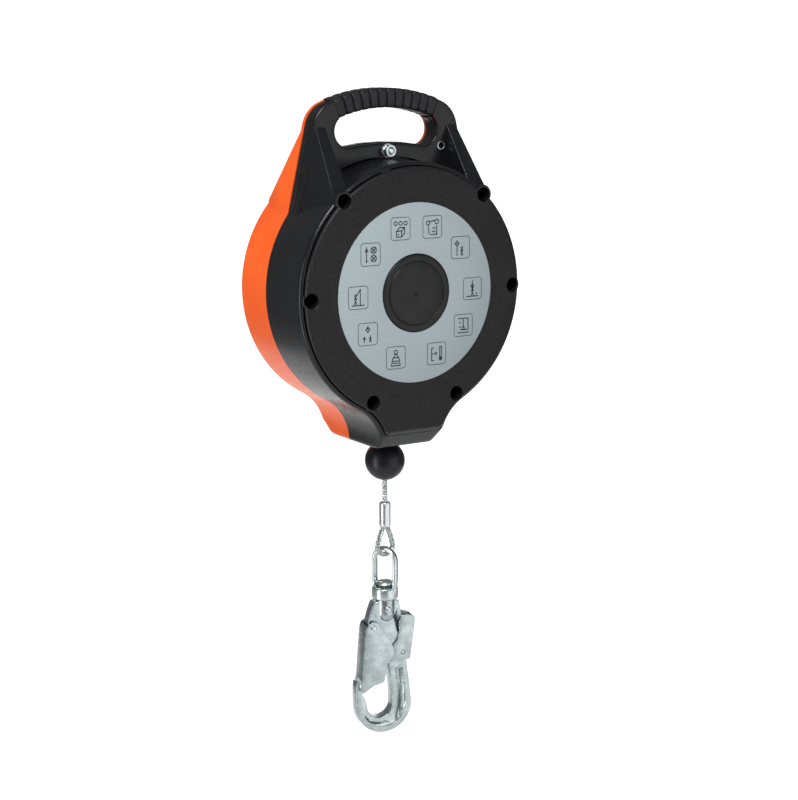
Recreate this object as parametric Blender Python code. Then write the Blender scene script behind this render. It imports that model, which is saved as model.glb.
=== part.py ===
"""Self retracting lifeline: a wire rope on a sprung drum in a moulded housing, with a swivel hook.

Lengths are millimetres; make_object turns them into metres. X is right, Y is depth (the
front cover faces -Y), Z is up. The frame's origin is where a connector bears inside the
handle: the top of the handle opening, on the seam between the two covers. Shapes are
drawn about the drum's axis, which runs along Y below the origin.
"""
import bmesh
import bpy
from math import acos, asin, cos, pi, radians, sin, sqrt
from mathutils import Vector

MM = 0.001
GAP = 0.3                    # between pieces that touch
HALF_GAP = GAP / 2

# Housing
AXIS_DROP = 156.5            # from the frame's origin down to the drum's axis
BODY_RADIUS = 112.5
FACE_RADIUS = 108.5          # the front disc, inside the rounded rim
FRONT_Y = -63.5
FACE_STEP = 4.0
REAR_Y = 48.0
WALL = 3.4
SPOUT_HALF = 30.0
SPOUT_BOTTOM = -138.5
SPOUT_BLEND = 45.0           # concave radius from the round body into the spout
CHAMFER = 19.0               # slope under the spout's front edge
REAR_CHAMFER = 14.0
LABEL_RADIUS = 78.0
CAP_RADIUS = 33.6
LABEL_THICK = 0.5

# Handle
HANDLE_FRONT = -16.5
HANDLE_REAR = 5.2
HANDLE_TOP = 172.9
TOP_ARC = 154.0              # radius of the handle's top
ARC_HALF = 57.0
CORNER_ARC = 27.0
SIDE_TILT = radians(77.2)    # the handle's sides below the horizontal
HOLE_TOP_ARC = 138.0
HOLE_END = 38.0
HOLE_END_RADIUS = 14.0
HOLE_BOTTOM = 126.4
SLOT_OUTER = 115.0           # thin slot between the round body and the web
SLOT_HALF_ANGLE = 24.0
GRIP_HALF = 53.0
GRIP_SKIN = 2.0
GRIP_PROUD = 0.8

# Housing screws and the fasteners in the web
SCREWS = [(102.8, 0.0), (70.5, 81.7), (-70.5, 81.7), (-102.8, 0.0), (-43.0, -92.4), (43.0, -92.4)]
SCREW_HOLE = 6.4
BOSS_RADIUS = 8.6
PILLAR_RADIUS = 7.9          # screw pillars inside the shells
BOLT_AT = (0.0, 119.6)
EYELET_AT = (56.0, 122.5)

# Drum, rope and power spring
ROPE_Y = -12.0
ROPE_RADIUS = 2.4
DRUM_BARREL = 45.0
DRUM_FLANGE = 76.0
WINDING_HALF = 15.0
WINDING_OUTER = 66.9
SHAFT_RADIUS = 8.0
ARBOR_RADIUS = 13.0
SPRING_TURNS = 5
SPRING_SIDES = 16            # straight pieces in one turn
SPRING_CASE = 70.0
TEETH = 24
PAWL_ORBIT = 44.0

# Lifeline
BALL_Z = -157.5
BALL_RADIUS = 18.2
FERRULE_TOP = -196.0
FERRULE_BOTTOM = -219.0
FERRULE_RADIUS = 5.3
LOOP_RADIUS = 8.2
LOOP_CENTRE_Z = -237.2

# Swivel and hook, about the swivel's vertical axis
EYE_TURN = radians(-66.0)
EYE_HALF = 13.5
EYE_TOP = -237.5
EYE_BAR = (4.4, 6.4)         # the bar's section: radial, across
BASE_TOP = -275.0
BASE_BOTTOM = -286.0
BASE_RADIUS = 12.2
HOOK_TURN = radians(-12.0)
FORGING_HALF = 6.0
GATE_PIVOT = (-14.5, -312.0)
LEVER_PIVOT = (14.8, -338.0)
BOSS_PIN_Z = -295.5
SHEET = 1.5                  # gate and lever sheet
LEVER_INNER = 6.3
GATE_INNER = 8.1

BLACK = ((0.035, 0.036, 0.040), 0.45, 0.0)
ORANGE = ((1.0, 0.15, 0.03), 0.42, 0.0)
RUBBER = ((0.05, 0.05, 0.055), 0.7, 0.0)
LABEL = ((0.35, 0.42, 0.46), 0.5, 0.0)
STEEL = ((0.40, 0.45, 0.46), 0.35, 1.0)
DARK_STEEL = ((0.20, 0.21, 0.22), 0.45, 1.0)
ALUMINIUM = ((0.60, 0.61, 0.62), 0.4, 1.0)
BRASS = ((0.60, 0.45, 0.20), 0.4, 1.0)
FRICTION = ((0.16, 0.11, 0.08), 0.8, 0.0)
NYLON = ((0.04, 0.04, 0.045), 0.5, 0.0)
GREEN = ((0.01, 0.12, 0.08), 0.5, 0.0)

anchors = {}


# ---------------------------------------------------------------- building blocks

def clear_scene():
    for item in list(bpy.data.objects):
        bpy.data.objects.remove(item, do_unlink=True)


def world(point):
    """A point drawn about the drum's axis, in the frame's millimetres."""
    return Vector((point[0], point[1], point[2] - AXIS_DROP))


def joint_empty(name, point, parent=None):
    empty = bpy.data.objects.new(name, None)
    bpy.context.collection.objects.link(empty)
    empty.empty_display_size = 0.01
    anchors[name] = world(point)
    base = anchors[parent] if parent else Vector()
    empty.location = (anchors[name] - base) * MM
    if parent:
        empty.parent = bpy.data.objects[parent]


def finish_material(name, finish):
    colour, roughness, metallic = finish
    material = bpy.data.materials.new(name)
    material.use_nodes = True
    shader = material.node_tree.nodes["Principled BSDF"]
    shader.inputs["Base Color"].default_value = (*colour, 1.0)
    shader.inputs["Roughness"].default_value = roughness
    shader.inputs["Metallic"].default_value = metallic
    return material


def make_object(name, shape, finish=None, at=(0, 0, 0), turn=0.0, parent=None, smooth=True):
    """One object from a bmesh drawn about the point `at`, turned about Z by `turn`."""
    bmesh.ops.recalc_face_normals(shape, faces=shape.faces)
    bmesh.ops.scale(shape, vec=(MM, MM, MM), verts=shape.verts)
    mesh = bpy.data.meshes.new(name)
    shape.to_mesh(mesh)
    shape.free()
    if smooth:
        mesh.shade_smooth()
        mesh.set_sharp_from_angle(angle=radians(35))
    item = bpy.data.objects.new(name, mesh)
    bpy.context.collection.objects.link(item)
    base = anchors[parent] if parent else Vector()
    item.location = (world(at) - base) * MM
    item.rotation_euler = (0, 0, turn)
    if parent:
        item.parent = bpy.data.objects[parent]
    if finish:
        mesh.materials.append(finish_material(name, finish))
    return item


def combine(target, operation, tools):
    """Join or cut `target` with several bmeshes at once; each tool is (shape, place, turn)."""
    label = "cutters_" + target.name + "_" + str(len(target.modifiers))
    group = bpy.data.collections.new(label)
    bpy.context.scene.collection.children.link(group)
    for number, (shape, at, turn) in enumerate(tools):
        tool = make_object("%s_%d" % (label, number), shape, at=at, turn=turn, smooth=False)
        tool.hide_render = True
        tool.display_type = "WIRE"
        bpy.context.collection.objects.unlink(tool)
        group.objects.link(tool)
    step = target.modifiers.new(label, "BOOLEAN")
    step.operation = operation
    step.solver = "EXACT"
    step.operand_type = "COLLECTION"
    step.collection = group


def tool(shape, at=(0, 0, 0), turn=0.0):
    return shape, at, turn


def join(target, *tools):
    combine(target, "UNION", tools)


def cut(target, *tools):
    combine(target, "DIFFERENCE", tools)


def prism(outline, y0, y1):
    """An outline of (x, z) points, extruded along Y."""
    shape = bmesh.new()
    front = [shape.verts.new((x, y0, z)) for x, z in outline]
    back = [shape.verts.new((x, y1, z)) for x, z in outline]
    shape.faces.new(front)
    shape.faces.new(list(reversed(back)))
    count = len(outline)
    for i in range(count):
        j = (i + 1) % count
        shape.faces.new((front[j], front[i], back[i], back[j]))
    return shape


def lathe(profile, sides=20, axis="Y"):
    """A closed profile of (radius, height) points, turned about Y or Z."""
    shape = bmesh.new()
    rings = []
    for radius, height in profile:
        count = sides if radius > 1e-6 else 1
        ring = []
        for i in range(count):
            a = 2 * pi * i / sides
            u, v = radius * cos(a), radius * sin(a)
            spot = (u, height, v) if axis == "Y" else (u, v, height)
            ring.append(shape.verts.new(spot))
        rings.append(ring)
    for low, high in zip(rings, rings[1:] + rings[:1]):
        for i in range(sides):
            j = (i + 1) % sides
            corners = [low[i % len(low)], low[j % len(low)], high[j % len(high)], high[i % len(high)]]
            face = []
            for corner in corners:
                if corner not in face:
                    face.append(corner)
            if len(face) > 2:
                shape.faces.new(face)
    return shape


def cylinder(radius, low, high, sides=18, axis="Y"):
    return lathe([(0, low), (radius, low), (radius, high), (0, high)], sides, axis)


def ring(inner, outer, low, high, sides=20, axis="Y"):
    return lathe([(inner, low), (outer, low), (outer, high), (inner, high)], sides, axis)


def nut(name, bore, radius, low, high, finish, at=(0, 0, 0)):
    item = make_object(name, cylinder(radius, low, high, 6), finish, at=at)
    cut(item, tool(cylinder(bore, low - 5, high + 5, 16), at))


def hull(points):
    shape = bmesh.new()
    for point in points:
        shape.verts.new(point)
    bmesh.ops.convex_hull(shape, input=shape.verts)
    loose = [v for v in shape.verts if not v.link_faces]
    bmesh.ops.delete(shape, geom=loose, context="VERTS")
    return shape


def box(x0, x1, y0, y1, z0, z1):
    return prism([(x0, z0), (x1, z0), (x1, z1), (x0, z1)], y0, y1)


def sweep(path, section, closed=False, side=None):
    """A section of (u, v) points carried along a path; `side` fixes u's direction."""
    shape = bmesh.new()
    count = len(path)
    rings = []
    for i, point in enumerate(path):
        before = path[i - 1] if (i or closed) else point
        after = path[(i + 1) % count] if (i < count - 1 or closed) else point
        along = (Vector(after) - Vector(before)).normalized()
        across = Vector(side) if side else Vector((0, 1, 0))
        across = (across - along * across.dot(along)).normalized()
        up = along.cross(across)
        rings.append([shape.verts.new(Vector(point) + across * u + up * v) for u, v in section])
    pairs = list(zip(rings, rings[1:]))
    if closed:
        pairs.append((rings[-1], rings[0]))
    sides = len(section)
    for a, b in pairs:
        for i in range(sides):
            j = (i + 1) % sides
            shape.faces.new((a[i], a[j], b[j], b[i]))
    if not closed:
        shape.faces.new(list(reversed(rings[0])))
        shape.faces.new(rings[-1])
    return shape


def round_section(radius_u, radius_v, sides=10):
    return [(radius_u * cos(2 * pi * i / sides), radius_v * sin(2 * pi * i / sides)) for i in range(sides)]


def arc(centre, radius, start, end, steps):
    """Points on a circle from one angle to another, in degrees."""
    points = []
    for i in range(steps + 1):
        a = radians(start + (end - start) * i / steps)
        points.append((centre[0] + radius * cos(a), centre[1] + radius * sin(a)))
    return points


def mirrored(right_side):
    """A closed outline from its right half, listed from bottom to top."""
    left_side = [(-x, z) for x, z in reversed(right_side) if abs(x) > 1e-6]
    return right_side + left_side


# ---------------------------------------------------------------- outlines

def body_outline(radius, half, bottom, blend, steps=20):
    """The round body with the spout below it, blended by a concave arc on each side."""
    centre_x = half + blend
    centre_z = -sqrt((radius + blend) ** 2 - centre_x ** 2)
    meet = asin(-centre_z / (radius + blend)) * 180 / pi
    right = [(half, bottom)]
    if bottom < centre_z:
        right += arc((centre_x, centre_z), blend, 180, 180 - meet, 5)
    else:
        start = 180 - asin((bottom - centre_z) / blend) * 180 / pi
        right = arc((centre_x, centre_z), blend, start, 180 - meet, 5)
        right[0] = (right[0][0], bottom)
    right += arc((0, 0), radius, -meet, 90, steps)[1:]
    return mirrored(right)


def handle_outline():
    """The handle's outside: an arched top, round corners and sides that run out to the body."""
    arc_centre = HANDLE_TOP - TOP_ARC
    heading = -asin(ARC_HALF / TOP_ARC)
    start_z = arc_centre + sqrt(TOP_ARC ** 2 - ARC_HALF ** 2)
    corner = (ARC_HALF + CORNER_ARC * sin(heading), start_z - CORNER_ARC * cos(heading))
    corner_top = 90 + heading * 180 / pi
    corner_end = 90 - SIDE_TILT * 180 / pi
    side_start = arc(corner, CORNER_ARC, corner_end, corner_top, 6)
    foot_z = 60.0
    foot_x = side_start[0][0] + (side_start[0][1] - foot_z) / 4.40
    right = [(foot_x, foot_z)] + side_start
    right += arc((0, arc_centre), TOP_ARC, corner_top, 90, 6)[1:]
    return mirrored(right)


def hole_outline(grow=0.0):
    """The handle opening; its underside is a shallow arch too."""
    end_z = AXIS_DROP - (HOLE_TOP_ARC - sqrt(HOLE_TOP_ARC ** 2 - HOLE_END ** 2)) - HOLE_END_RADIUS
    right = [(0.0, HOLE_BOTTOM - grow), (20.0, HOLE_BOTTOM - 0.8 - grow)]
    right += arc((HOLE_END, end_z), HOLE_END_RADIUS + grow, -90, 74, 10)
    top_centre = AXIS_DROP - HOLE_TOP_ARC
    right += arc((0, top_centre), HOLE_TOP_ARC + grow, 78, 90, 4)
    return mirrored(right)


def arched(section, half):
    """A section of (offset from the handle's top, y) points, swept along the arch."""
    centre = HANDLE_TOP - TOP_ARC
    reach = asin(half / TOP_ARC)
    path_steps = 12
    shape = bmesh.new()
    rings = []
    for i in range(path_steps + 1):
        a = pi / 2 - reach + 2 * reach * i / path_steps
        rings.append([shape.verts.new(((TOP_ARC + up) * cos(a), y, centre + (TOP_ARC + up) * sin(a)))
                      for up, y in section])
    for one, two in zip(rings, rings[1:]):
        for i in range(len(section)):
            j = (i + 1) % len(section)
            shape.faces.new((one[i], one[j], two[j], two[i]))
    shape.faces.new(list(reversed(rings[0])))
    shape.faces.new(rings[-1])
    return shape


BAR_DEPTH = HANDLE_TOP - AXIS_DROP     # the handle bar's height at its middle


# ---------------------------------------------------------------- housing

def shell(name, finish, outer_y, seam_y, step, handle_y, inward, holes):
    """One half of the housing. `inward` is +1 for the front half, -1 for the rear half."""
    wall_y = outer_y + inward * step
    past_seam = seam_y + inward * 2.0
    item = make_object(name, prism(body_outline(BODY_RADIUS, SPOUT_HALF, SPOUT_BOTTOM, SPOUT_BLEND),
                                   wall_y, past_seam), finish)
    face = FACE_RADIUS if inward > 0 else BODY_RADIUS - 2.0
    face_plate = prism(body_outline(face, SPOUT_HALF - 2, SPOUT_BOTTOM + 2, SPOUT_BLEND + 4),
                       outer_y, wall_y + inward * 1.0)
    bosses = [tool(cylinder(BOSS_RADIUS, outer_y + inward * 2.0, past_seam + inward, 14), (x, 0, z))
              for x, z in SCREWS[1:3]]
    join(item, tool(face_plate), tool(prism(handle_outline(), handle_y, past_seam + inward * 0.5)),
         tool(rib(-1, handle_y, outer_y, inward)), tool(rib(1, handle_y, outer_y, inward)), *bosses)

    cavity = body_outline(BODY_RADIUS - WALL, SPOUT_HALF - WALL, SPOUT_BOTTOM + WALL, SPOUT_BLEND + WALL)
    slot = arc((0, 0), SLOT_OUTER, 90 - SLOT_HALF_ANGLE, 90 + SLOT_HALF_ANGLE, 10)
    slot += arc((0, 0), BODY_RADIUS + 0.05, 90 + SLOT_HALF_ANGLE, 90 - SLOT_HALF_ANGLE, 10)
    bare = GRIP_SKIN + GAP
    groove = [(8, handle_y - inward * 5), (8, seam_y + inward * 6), (-bare, seam_y + inward * 6),
              (-bare, handle_y + inward * bare), (-BAR_DEPTH + bare, handle_y + inward * bare),
              (-BAR_DEPTH + bare, seam_y + inward * 6), (-BAR_DEPTH - 7, seam_y + inward * 6),
              (-BAR_DEPTH - 7, handle_y - inward * 5)]
    cut(item, tool(prism(cavity, outer_y + inward * 3.6, seam_y + inward * 8)),
        tool(prism(hole_outline(), -30, 30)), tool(arched(groove, GRIP_HALF + GAP)),
        tool(prism(slot, -30, 30)), tool(cylinder(3.3, -31, 31, 16), (BOLT_AT[0], 0, BOLT_AT[1])),
        tool(cylinder(3.3, -31, 31, 16), (EYELET_AT[0], 0, EYELET_AT[1])))

    spout_fill = hull([(x, outer_y + inward * y, z) for x in (-28.4, 28.4)
                       for y, z in ((1.3, -114.0), (1.3, -137.2), (23.0, -137.2), (19.0, -130.0))])
    join(item, *[tool(cylinder(PILLAR_RADIUS, outer_y + inward * 2.4, past_seam + inward * 1.5, 12), (x, 0, z))
                 for x, z in SCREWS], tool(spout_fill))
    strap_room = box(-13.3, 13.3, -2.8, 2.8, 90, 124.5)
    past = box(-150, 150, seam_y, seam_y + inward * 20, -170, 200)
    cut(item, tool(strap_room), tool(past), *holes)
    return item


def rib(side, handle_y, outer_y, inward):
    """The wedge that runs from the top of a handle leg out to the rim of the body."""
    if inward > 0:
        edge_y = outer_y + 6.5
        root = [(71.5, 142.5), (62.0, 142.5), (62.0, 62.0), (86.5, 62.0), (86.5, 74.0), (79.0, 105.0)]
        edge = [(62.0, 85.5), (78.0, 85.5), (78.0, 62.0), (62.0, 62.0)]
    else:
        edge_y = outer_y - 9.0
        root = [(74.2, 138.5), (64.0, 138.5), (64.0, 62.0), (90.0, 62.0), (88.0, 77.0)]
        edge = [(76.0, 77.0), (88.0, 77.0), (88.0, 62.0), (76.0, 62.0)]
    points = [(side * x, handle_y + inward, z) for x, z in root]
    points += [(side * x, edge_y, z) for x, z in edge]
    return hull(points)


def make_housing():
    well = [(0, FRONT_Y - 2), (SCREW_HOLE, FRONT_Y - 2), (SCREW_HOLE, -34.0), (2.6, -34.0), (2.6, 9.0), (0, 9.0)]
    holes = [tool(lathe(well, 14), (x, 0, z)) for x, z in SCREWS]
    holes.append(tool(prism(spout_chamfer(), -45, 45), turn=pi / 2))
    holes.append(tool(cylinder(CAP_RADIUS + GAP, FRONT_Y - 2, FRONT_Y + 6, 32)))
    holes.append(tool(cylinder(10.8, -145, -130, 16, "Z"), (0, ROPE_Y, 0)))
    shell("front_cover", BLACK, FRONT_Y, -HALF_GAP, FACE_STEP, HANDLE_FRONT, 1, holes)

    holes = [tool(cylinder(2.6, -12.0, 26.0, 8), (x, 0, z)) for x, z in SCREWS]
    holes.append(tool(prism(rear_chamfer(), -45, 45), turn=pi / 2))
    shell("rear_cover", ORANGE, REAR_Y, HALF_GAP, 2.0, HANDLE_REAR, -1, holes)

    low, high = HANDLE_FRONT - GRIP_PROUD, HANDLE_REAR + GRIP_PROUD
    skin = [(GRIP_PROUD, low), (GRIP_PROUD, high), (-BAR_DEPTH, high), (-BAR_DEPTH, low)]
    grip = make_object("handle_grip", arched(skin, GRIP_HALF), RUBBER)
    low, high = HANDLE_FRONT + GRIP_SKIN, HANDLE_REAR - GRIP_SKIN
    bar = [(-GRIP_SKIN, low), (-GRIP_SKIN, high), (-BAR_DEPTH + GRIP_SKIN, high), (-BAR_DEPTH + GRIP_SKIN, low)]
    cut(grip, tool(arched(bar, GRIP_HALF + 6)))

    make_object("label_ring", ring(CAP_RADIUS + 0.6, LABEL_RADIUS, FRONT_Y - LABEL_THICK - 0.05,
                                   FRONT_Y - 0.05, 36), LABEL)
    cap = [(0, FRONT_Y + 1.0), (2.4, FRONT_Y - 1.2), (27.0, FRONT_Y - 1.6), (27.6, FRONT_Y - 1.0),
           (28.4, FRONT_Y - 1.6), (32.6, FRONT_Y - 1.3), (CAP_RADIUS, FRONT_Y - 0.2),
           (CAP_RADIUS, FRONT_Y + 3.2), (31.0, FRONT_Y + 3.2), (31.0, FRONT_Y + 2.2), (0, FRONT_Y + 2.2)]
    make_object("hub_cap", lathe(cap, 28), BLACK)

    for number, (x, z) in enumerate(SCREWS, 1):
        screw = [(0, -38.6), (1.6, -38.6), (1.6, -40.2), (4.8, -39.4), (4.8, -34.4), (2.0, -34.4),
                 (2.0, 24.0), (0, 25.5)]
        make_object("housing_screw_%d" % number, lathe(screw, 8), DARK_STEEL, at=(x, 0, z))

    head = HANDLE_REAR + 0.4
    bolt = [(0, head + 3.4), (5.0, head + 3.4), (5.4, head), (3.0, head), (3.0, -24.4), (2.4, -25.2), (0, -25.2)]
    spot = (BOLT_AT[0], 0, BOLT_AT[1])
    make_object("anchor_bolt", lathe(bolt, 12), STEEL, at=spot)
    make_object("anchor_washer", ring(3.3, 6.2, -18.2, -16.8, 16), STEEL, at=spot)
    nut("anchor_nut", 3.3, 5.8, -23.4, -18.5, STEEL, spot)
    back = HANDLE_REAR + 0.3
    eyelet = [(2.2, -17.6), (3.9, -17.6), (4.1, -16.8), (3.0, -16.8), (3.0, back), (4.1, back),
              (3.9, back + 0.8), (2.2, back + 0.8)]
    make_object("eyelet_rivet", lathe(eyelet, 14), STEEL, at=(EYELET_AT[0], 0, EYELET_AT[1]))


def spout_chamfer():
    """Seen from the side, with y as the first coordinate: the slope under the front edge."""
    y0, z0 = FRONT_Y, SPOUT_BOTTOM
    return [(y0 - 5, z0 + CHAMFER + 5), (y0 + CHAMFER + 5, z0 - 5), (y0 - 5, z0 - 5)]


def rear_chamfer():
    y0, z0 = REAR_Y, SPOUT_BOTTOM
    return [(y0 + 5, z0 + REAR_CHAMFER + 5), (y0 + 5, z0 - 5), (y0 - REAR_CHAMFER - 5, z0 - 5)]


def make_frame():
    """The steel parts that carry the load from the bolt in the web to the drum's shaft."""
    strap = mirrored([(0, 82.0), (12.0, 82.0), (12.0, 121.5), (9.0, 124.0), (0, 124.0)])
    item = make_object("anchor_strap", prism(strap, -2.4, 2.4), STEEL)
    cut(item, tool(cylinder(3.3, -5, 5, 16), (BOLT_AT[0], 0, BOLT_AT[1])),
        tool(cylinder(5.3, -5, 5, 16), (0, 0, 92.0)))
    plate = mirrored([(0, -22.0)] + arc((0, 0), 22.0, -60, 0, 4) + arc((0, 92.0), 12.0, 0, 90, 4))
    for name, y0, y1 in (("frame_plate_front", -56.6, -53.6), ("frame_plate_rear", 34.2, 37.2)):
        item = make_object(name, prism(plate, y0, y1), STEEL)
        cut(item, tool(cylinder(SHAFT_RADIUS + GAP, -70, 70, 24)),
            tool(cylinder(5.3, -70, 70, 16), (0, 0, 92.0)))
    bolt = [(0, -59.4), (7.5, -59.4), (7.5, -56.9), (5.0, -56.9), (5.0, 40.8), (0, 40.8)]
    make_object("frame_bolt", lathe(bolt, 12), STEEL, at=(0, 0, 92.0))
    make_object("frame_spacer_front", ring(5.3, 8.0, -53.3, -2.7, 10), STEEL, at=(0, 0, 92.0))
    make_object("frame_spacer_rear", ring(5.3, 8.0, 2.7, 33.9, 10), STEEL, at=(0, 0, 92.0))
    shaft = [(0, -59.0), (7.2, -59.0), (SHAFT_RADIUS, -58.2), (SHAFT_RADIUS, 43.0), (7.2, 44.0), (0, 44.0)]
    make_object("main_shaft", lathe(shaft, 16), STEEL)
    nut("shaft_nut", SHAFT_RADIUS + GAP, 14.0, 37.5, 43.0, DARK_STEEL)
    case = [(17.0, 31.4), (SPRING_CASE - 3, 31.4), (SPRING_CASE - 3, 8.0), (SPRING_CASE, 8.0),
            (SPRING_CASE, 33.9), (17.0, 33.9)]
    make_object("spring_case", lathe(case, 28), DARK_STEEL)


def make_brake():
    """The friction pack on the shaft, which lets the ratchet ring slip under a fall's load."""
    shaft_clear = SHAFT_RADIUS + GAP
    make_object("brake_backing_plate", ring(shaft_clear, 36.0, -34.5, -32.0, 20), STEEL)
    make_object("brake_lining_rear", ring(22.0, 36.0, -36.1, -34.8, 20), FRICTION)
    make_object("brake_lining_front", ring(22.0, 36.0, -41.1, -39.8, 20), FRICTION)
    make_object("pressure_plate", ring(shaft_clear, 36.0, -43.9, -41.4, 20), STEEL)
    spring = [(shaft_clear + 1, -48.2), (shaft_clear + 2, -49.2), (28.0, -45.4), (28.0, -44.2)]
    make_object("disc_spring", lathe(spring, 20), DARK_STEEL)
    nut("brake_nut", shaft_clear, 15.0, -53.3, -49.6, DARK_STEEL)

    steps = []
    for i in range(TEETH):
        base = 360.0 * i / TEETH
        for radius, share in ((53.0, 0.10), (53.0, 0.35), (58.0, 0.45)):
            a = radians(base + share * 360.0 / TEETH)
            steps.append((radius * cos(a), radius * sin(a)))
    item = make_object("ratchet_ring", cylinder(64.0, -39.5, -30.6, 32), DARK_STEEL, parent="brake_axis",
                       at=(0, 0, 0))
    cut(item, tool(prism(steps, -36.4, -20.0)), tool(cylinder(22.0, -60, 0, 18)))


def make_drum():
    """The drum with its winding, pawls and spring arbor, all turning on the shaft."""
    low, high = ROPE_Y - WINDING_HALF, ROPE_Y + WINDING_HALF
    bore = SHAFT_RADIUS + GAP + 3.0
    profile = [(bore, low - 2.5), (20.0, low - 2.5), (20.0, ROPE_Y - 2), (38.0, ROPE_Y - 2),
               (38.0, low - 2.5), (DRUM_FLANGE, low - 2.5), (DRUM_FLANGE, low), (DRUM_BARREL, low),
               (DRUM_BARREL, high), (DRUM_FLANGE, high), (DRUM_FLANGE, high + 2.5), (38.0, high + 2.5),
               (38.0, ROPE_Y + 2), (20.0, ROPE_Y + 2), (20.0, high + 2.5), (bore, high + 2.5)]
    make_object("cable_drum", lathe(profile, 24), ALUMINIUM, parent="drum_axis")
    make_object("wound_rope", ring(DRUM_BARREL + GAP, WINDING_OUTER, low + GAP, high - GAP, 28), STEEL,
                parent="drum_axis")
    make_object("drum_bush_front", ring(SHAFT_RADIUS + 0.35, bore - GAP, low - 2.5, ROPE_Y - 3, 16), BRASS,
                parent="drum_axis")
    make_object("drum_bush_rear", ring(SHAFT_RADIUS + 0.35, bore - GAP, ROPE_Y + 3, high + 2.5, 16), BRASS,
                parent="drum_axis")
    make_object("spring_arbor", ring(SHAFT_RADIUS + 0.3, ARBOR_RADIUS, high + 2.8, 30.8, 16), STEEL,
                parent="drum_axis")
    make_object("power_spring", spiral(), STEEL, parent="drum_axis")

    for number, angle in enumerate((90.0, 270.0), 1):
        a = radians(angle)
        x, z = PAWL_ORBIT * cos(a), PAWL_ORBIT * sin(a)
        pin = ring(0.8, 2.5, -35.6, low - 2.8, 12)
        make_object("pawl_pin_%d" % number, pin, STEEL, at=(x, 0, z), parent="drum_axis")
        joint_empty("pawl_axis_%d" % number, (x, 0, z), "drum_axis")
        pawl = [(4.8 * cos(a + radians(t)), 4.8 * sin(a + radians(t))) for t in range(90, 271, 30)]
        along = Vector((-sin(a), cos(a)))
        out = Vector((cos(a), sin(a)))
        for reach, rise in ((20.0, -1.6), (21.5, 3.2), (8.0, 4.4)):
            spot = along * -reach + out * rise
            pawl.append((spot.x, spot.y))
        item = make_object("pawl_%d" % number, hull_prism(pawl, -34.8, -30.2), DARK_STEEL, at=(x, 0, z),
                           parent="pawl_axis_%d" % number)
        cut(item, tool(cylinder(2.8, -40, -25, 12), (x, 0, z)))


def hull_prism(outline, y0, y1):
    return hull([(x, y0, z) for x, z in outline] + [(x, y1, z) for x, z in outline])


def spiral():
    """The flat power spring, wound from the arbor to the case."""
    start, end = ARBOR_RADIUS + 1.0, SPRING_CASE - 4.4
    steps = SPRING_TURNS * SPRING_SIDES
    path = []
    for i in range(steps + 1):
        a = 2 * pi * i / SPRING_SIDES
        radius = start + (end - start) * i / steps
        path.append((radius * cos(a), 19.5, radius * sin(a)))
    return sweep(path, [(-10.5, -0.5), (10.5, -0.5), (10.5, 0.5), (-10.5, 0.5)], side=(0, 1, 0))


# ---------------------------------------------------------------- lifeline

def make_rope():
    """The outlet bush, the stretch of rope inside, and everything that travels on the rope."""
    bush = [(4.5, -138.0), (10.5, -138.0), (10.5, -134.8), (13.5, -134.8), (13.5, -131.0), (7.0, -128.0),
            (3.4, -132.0), (3.4, -136.6)]
    make_object("cable_guide", lathe(bush, 16, "Z"), NYLON, at=(0, ROPE_Y, 0))

    mouth = -129.0
    layer = WINDING_OUTER - ROPE_RADIUS
    swing = acos(layer / -mouth)
    touch = Vector((layer * cos(-pi / 2 + swing), ROPE_Y, layer * sin(-pi / 2 + swing)))
    outlet = Vector((0, ROPE_Y, mouth))
    run = (outlet - touch).normalized()
    clear = sqrt((WINDING_OUTER + ROPE_RADIUS + GAP) ** 2 - layer ** 2)
    start = touch + run * (clear + 0.5)
    end = outlet - run * 1.5
    lead = sweep([tuple(start), tuple(end)], round_section(ROPE_RADIUS, ROPE_RADIUS, 8), side=(0, 1, 0))
    make_object("rope_lead_in", lead, STEEL)

    path = [(0, 0, -133.0 - i * (FERRULE_TOP + 133.0) / -6.0) for i in range(7)]
    path[-1] = (0, 0, FERRULE_TOP + GAP)
    line = bpy.data.curves.new("lifeline_rope", "CURVE")
    line.dimensions = "3D"
    spline = line.splines.new("POLY")
    spline.points.add(len(path) - 1)
    for spot, (x, y, z) in zip(spline.points, path):
        spot.co = (x * MM, y * MM, z * MM, 1.0)
    line.bevel_depth = ROPE_RADIUS * MM
    line.bevel_resolution = 2
    line.use_fill_caps = True
    line.materials.append(finish_material("lifeline_rope", STEEL))
    rope = bpy.data.objects.new("lifeline_rope", line)
    bpy.context.collection.objects.link(rope)
    rope.parent = bpy.data.objects["payout_axis"]
    rope.location = (world((0, ROPE_Y, 0)) - anchors["payout_axis"]) * MM

    bore = ROPE_RADIUS + GAP
    half = sqrt(BALL_RADIUS ** 2 - bore ** 2)
    top = asin(half / BALL_RADIUS) * 180 / pi
    ball = [(r, BALL_Z + h) for r, h in arc((0, 0), BALL_RADIUS, -top, top, 9)]
    make_object("ball_bumper", lathe(ball, 20, "Z"), RUBBER, at=(0, ROPE_Y, 0), parent="payout_axis")
    sleeve = [(0, FERRULE_TOP), (4.6, FERRULE_TOP), (FERRULE_RADIUS, FERRULE_TOP - 1),
              (FERRULE_RADIUS, FERRULE_BOTTOM + 1), (4.6, FERRULE_BOTTOM), (0, FERRULE_BOTTOM)]
    make_object("rope_ferrule", lathe(sleeve, 14, "Z"), ALUMINIUM, at=(0, ROPE_Y, 0), parent="payout_axis")
    make_object("rope_loop", loop_tube(), STEEL, at=(0, ROPE_Y, 0), parent="payout_axis")


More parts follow.
